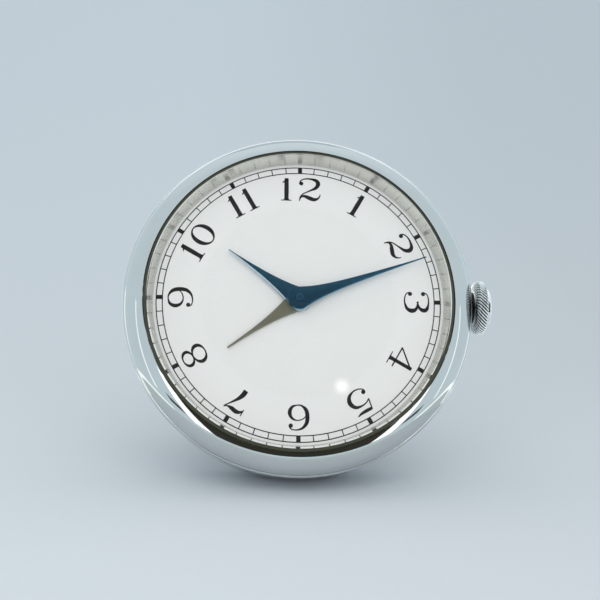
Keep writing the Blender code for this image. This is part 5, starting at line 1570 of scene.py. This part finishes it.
def make_card(name, material, azimuths, elevations):
    """A curved card round the clock."""
    distance = OPENING_DISTANCE if name.startswith("opening") else CARD_DISTANCE
    shaped = bmesh.new()
    rows = []
    for row in range(CARD_ROWS + 1):
        rise = math.radians(elevations[0] + (elevations[1] - elevations[0]) * row / CARD_ROWS)
        line = []
        for column in range(CARD_COLUMNS + 1):
            side = math.radians(
                azimuths[0] + (azimuths[1] - azimuths[0]) * column / CARD_COLUMNS)
            heading = Vector((
                math.sin(side) * math.cos(rise), -math.cos(side) * math.cos(rise), math.sin(rise)))
            line.append(shaped.verts.new(dial_centre + heading * distance))
        rows.append(line)
    add_grid(shaped, rows)
    only_in_metal(add_object(name, raw_mesh(name, shaped), material))


def make_cards():
    """Cards with slightly uneven light."""
    lights = {}
    for name, colour, strength in CARD_LIGHTS:
        def uneven(tree, place, middle=strength):
            return spread(tree, noise(tree, place, CARD_CLOUD_SCALE, 2.0), 0.3, 0.7,
                          CARD_DIMMEST * middle, CARD_BRIGHTEST * middle)
        lights[name] = glowing(name, srgb(*colour), uneven)
    for name, light, azimuths, elevations in MIDDLE_CARDS:
        make_card(name, lights[light], azimuths, elevations)
    for side, word in ((-1.0, "left"), (1.0, "right")):
        for name, light, azimuths, elevations in SIDE_CARDS:
            make_card(name % word, lights[light], [side * value for value in azimuths], elevations)


def aimed(place, target):
    """Turn of a lamp at a place toward a target."""
    return (Vector(target) - Vector(place)).to_track_quat("-Z", "Y").to_euler()


def make_lamp_glow():
    """The small lamp as the glass mirrors it: bright in its middle and fading outward."""
    def fading(tree, place):
        away = vector_math(tree, "LENGTH", place, output="Value")
        left = spread(tree, away, 0.1 * LAMP_SIZE, LAMP_SIZE, 1.0, 0.0)
        return calculate(tree, "MULTIPLY", calculate(tree, "POWER", left, 1.5), LAMP_GLOW)

    shaped = bmesh.new()
    bmesh.ops.create_circle(shaped, cap_ends=True, radius=LAMP_SIZE, segments=SMALL_STEPS)
    glow = add_object("lamp_glow", raw_mesh("lamp_glow", shaped),
                      glowing("lamp_fading", (*LAMP_COLOUR, 1.0), fading))
    glow.location = LAMP_PLACE
    glow.rotation_euler = aimed(LAMP_PLACE, dial_centre)
    only_in_metal(glow)


def sheet_piece(name, section, half_width, material):
    """A pale sheet from (along, up) points."""
    shaped = bmesh.new()
    add_grid(shaped, [[shaped.verts.new((side * half_width, along, up)) for side in SHEET_COLUMNS]
                      for along, up in section])
    mesh = raw_mesh(name, shaped)
    mesh.shade_smooth()
    return add_object(name, mesh, material)


def make_stage():
    """One sheet that curves up into a wall behind; metal sees only a small platform of it."""
    material, tree, shader = new_material("backdrop_paper")
    place = coordinate(tree)
    apart = add_node(tree, "ShaderNodeSeparateXYZ", {"Vector": place}).outputs
    # Painted shade: the paper darkens from the near floor toward the wall behind, and toward the
    # right
    tint = mixed(tree, spread(tree, apart["Y"], 0.05, 0.7, 0.0, 1.0), PAPER_NEAR, PAPER_FAR)
    grain = spread(tree, noise(tree, place, PAPER_GRAIN_SCALE, 3.0), 0.3, 0.7, 0.993, 1.007)
    amount = calculate(tree, "MULTIPLY", grain, spread(tree, apart["X"], -0.04, 0.14, 1.0, 0.91))
    feed(tree, shader, {"Base Color": shade(tree, tint, amount),
                        "Roughness": PAPER_ROUGHNESS, "Specular IOR Level": 0.0})
    bend = arc_points((WALL_DISTANCE - WALL_BEND, 0.0), (WALL_DISTANCE, WALL_BEND), 90.0,
                      WALL_BEND_STEPS)
    section = [(SHEET_FRONT, 0.0), *bend, (WALL_DISTANCE, WALL_HEIGHT)]
    backdrop = sheet_piece("backdrop", section, SHEET_HALF_WIDTH, material)
    backdrop.visible_glossy = False
    flat = [(along, PLATFORM_LIFT) for along in (PLATFORM_FRONT, PLATFORM_BACK)]
    only_in_metal(sheet_piece("platform", flat, PLATFORM_HALF_WIDTH, material))


def make_room():
    """Tent walls: neutral for what they light; metal sees them pale blue, brighter above."""
    world = bpy.data.worlds.new("room")
    world.use_nodes = True
    tree = world.node_tree
    direction = add_node(tree, "ShaderNodeTexCoord").outputs["Generated"]
    height = add_node(tree, "ShaderNodeSeparateXYZ", {"Vector": direction}).outputs["Z"]
    tent = add_node(tree, "ShaderNodeValToRGB", {"Fac": spread(tree, height, -1.0, 1.0, 0.0, 1.0)})
    ramp = tent.color_ramp
    while len(ramp.elements) < len(TENT_STOPS):
        ramp.elements.new(0.5)
    for element, (position, colour) in zip(ramp.elements, TENT_STOPS):
        element.position = position
        element.color = srgb(*colour)
    toward = vector_math(tree, "DOT_PRODUCT", direction, BRIGHT_SIDE, "Value")
    seen = shade(tree, tent.outputs["Color"], spread(tree, toward, 0.75, 0.97, 1.0, 1.16))
    dimmer = spread(tree, calculate(tree, "ABSOLUTE", height), 0.0, 1.0, 1.0, 0.5)
    path = add_node(tree, "ShaderNodeLightPath").outputs
    mirrored = calculate(tree, "MAXIMUM", path["Is Glossy Ray"], path["Is Transmission Ray"])
    feed(tree, tree.nodes["Background"], {
        "Color": mixed(tree, mirrored, shade(tree, (DAYLIGHT, DAYLIGHT, DAYLIGHT), dimmer), seen),
        "Strength": 1.0})
    scene.world = world


def make_lamps():
    for name, place, size, watts, colour, shape in LAMPS:
        data = bpy.data.lights.new(name, "AREA")
        data.shape = shape
        data.size, data.size_y = size
        data.energy = watts
        data.color = colour
        lamp = add_object(name, data)
        lamp.location = place
        lamp.rotation_euler = aimed(place, dial_centre)
        lamp.visible_camera = False
        lamp.visible_glossy = False
        lamp.visible_transmission = False


make_camera()
make_stage()
make_cards()
make_lamp_glow()
make_room()
make_lamps()
scene.view_settings.view_transform = "Standard"
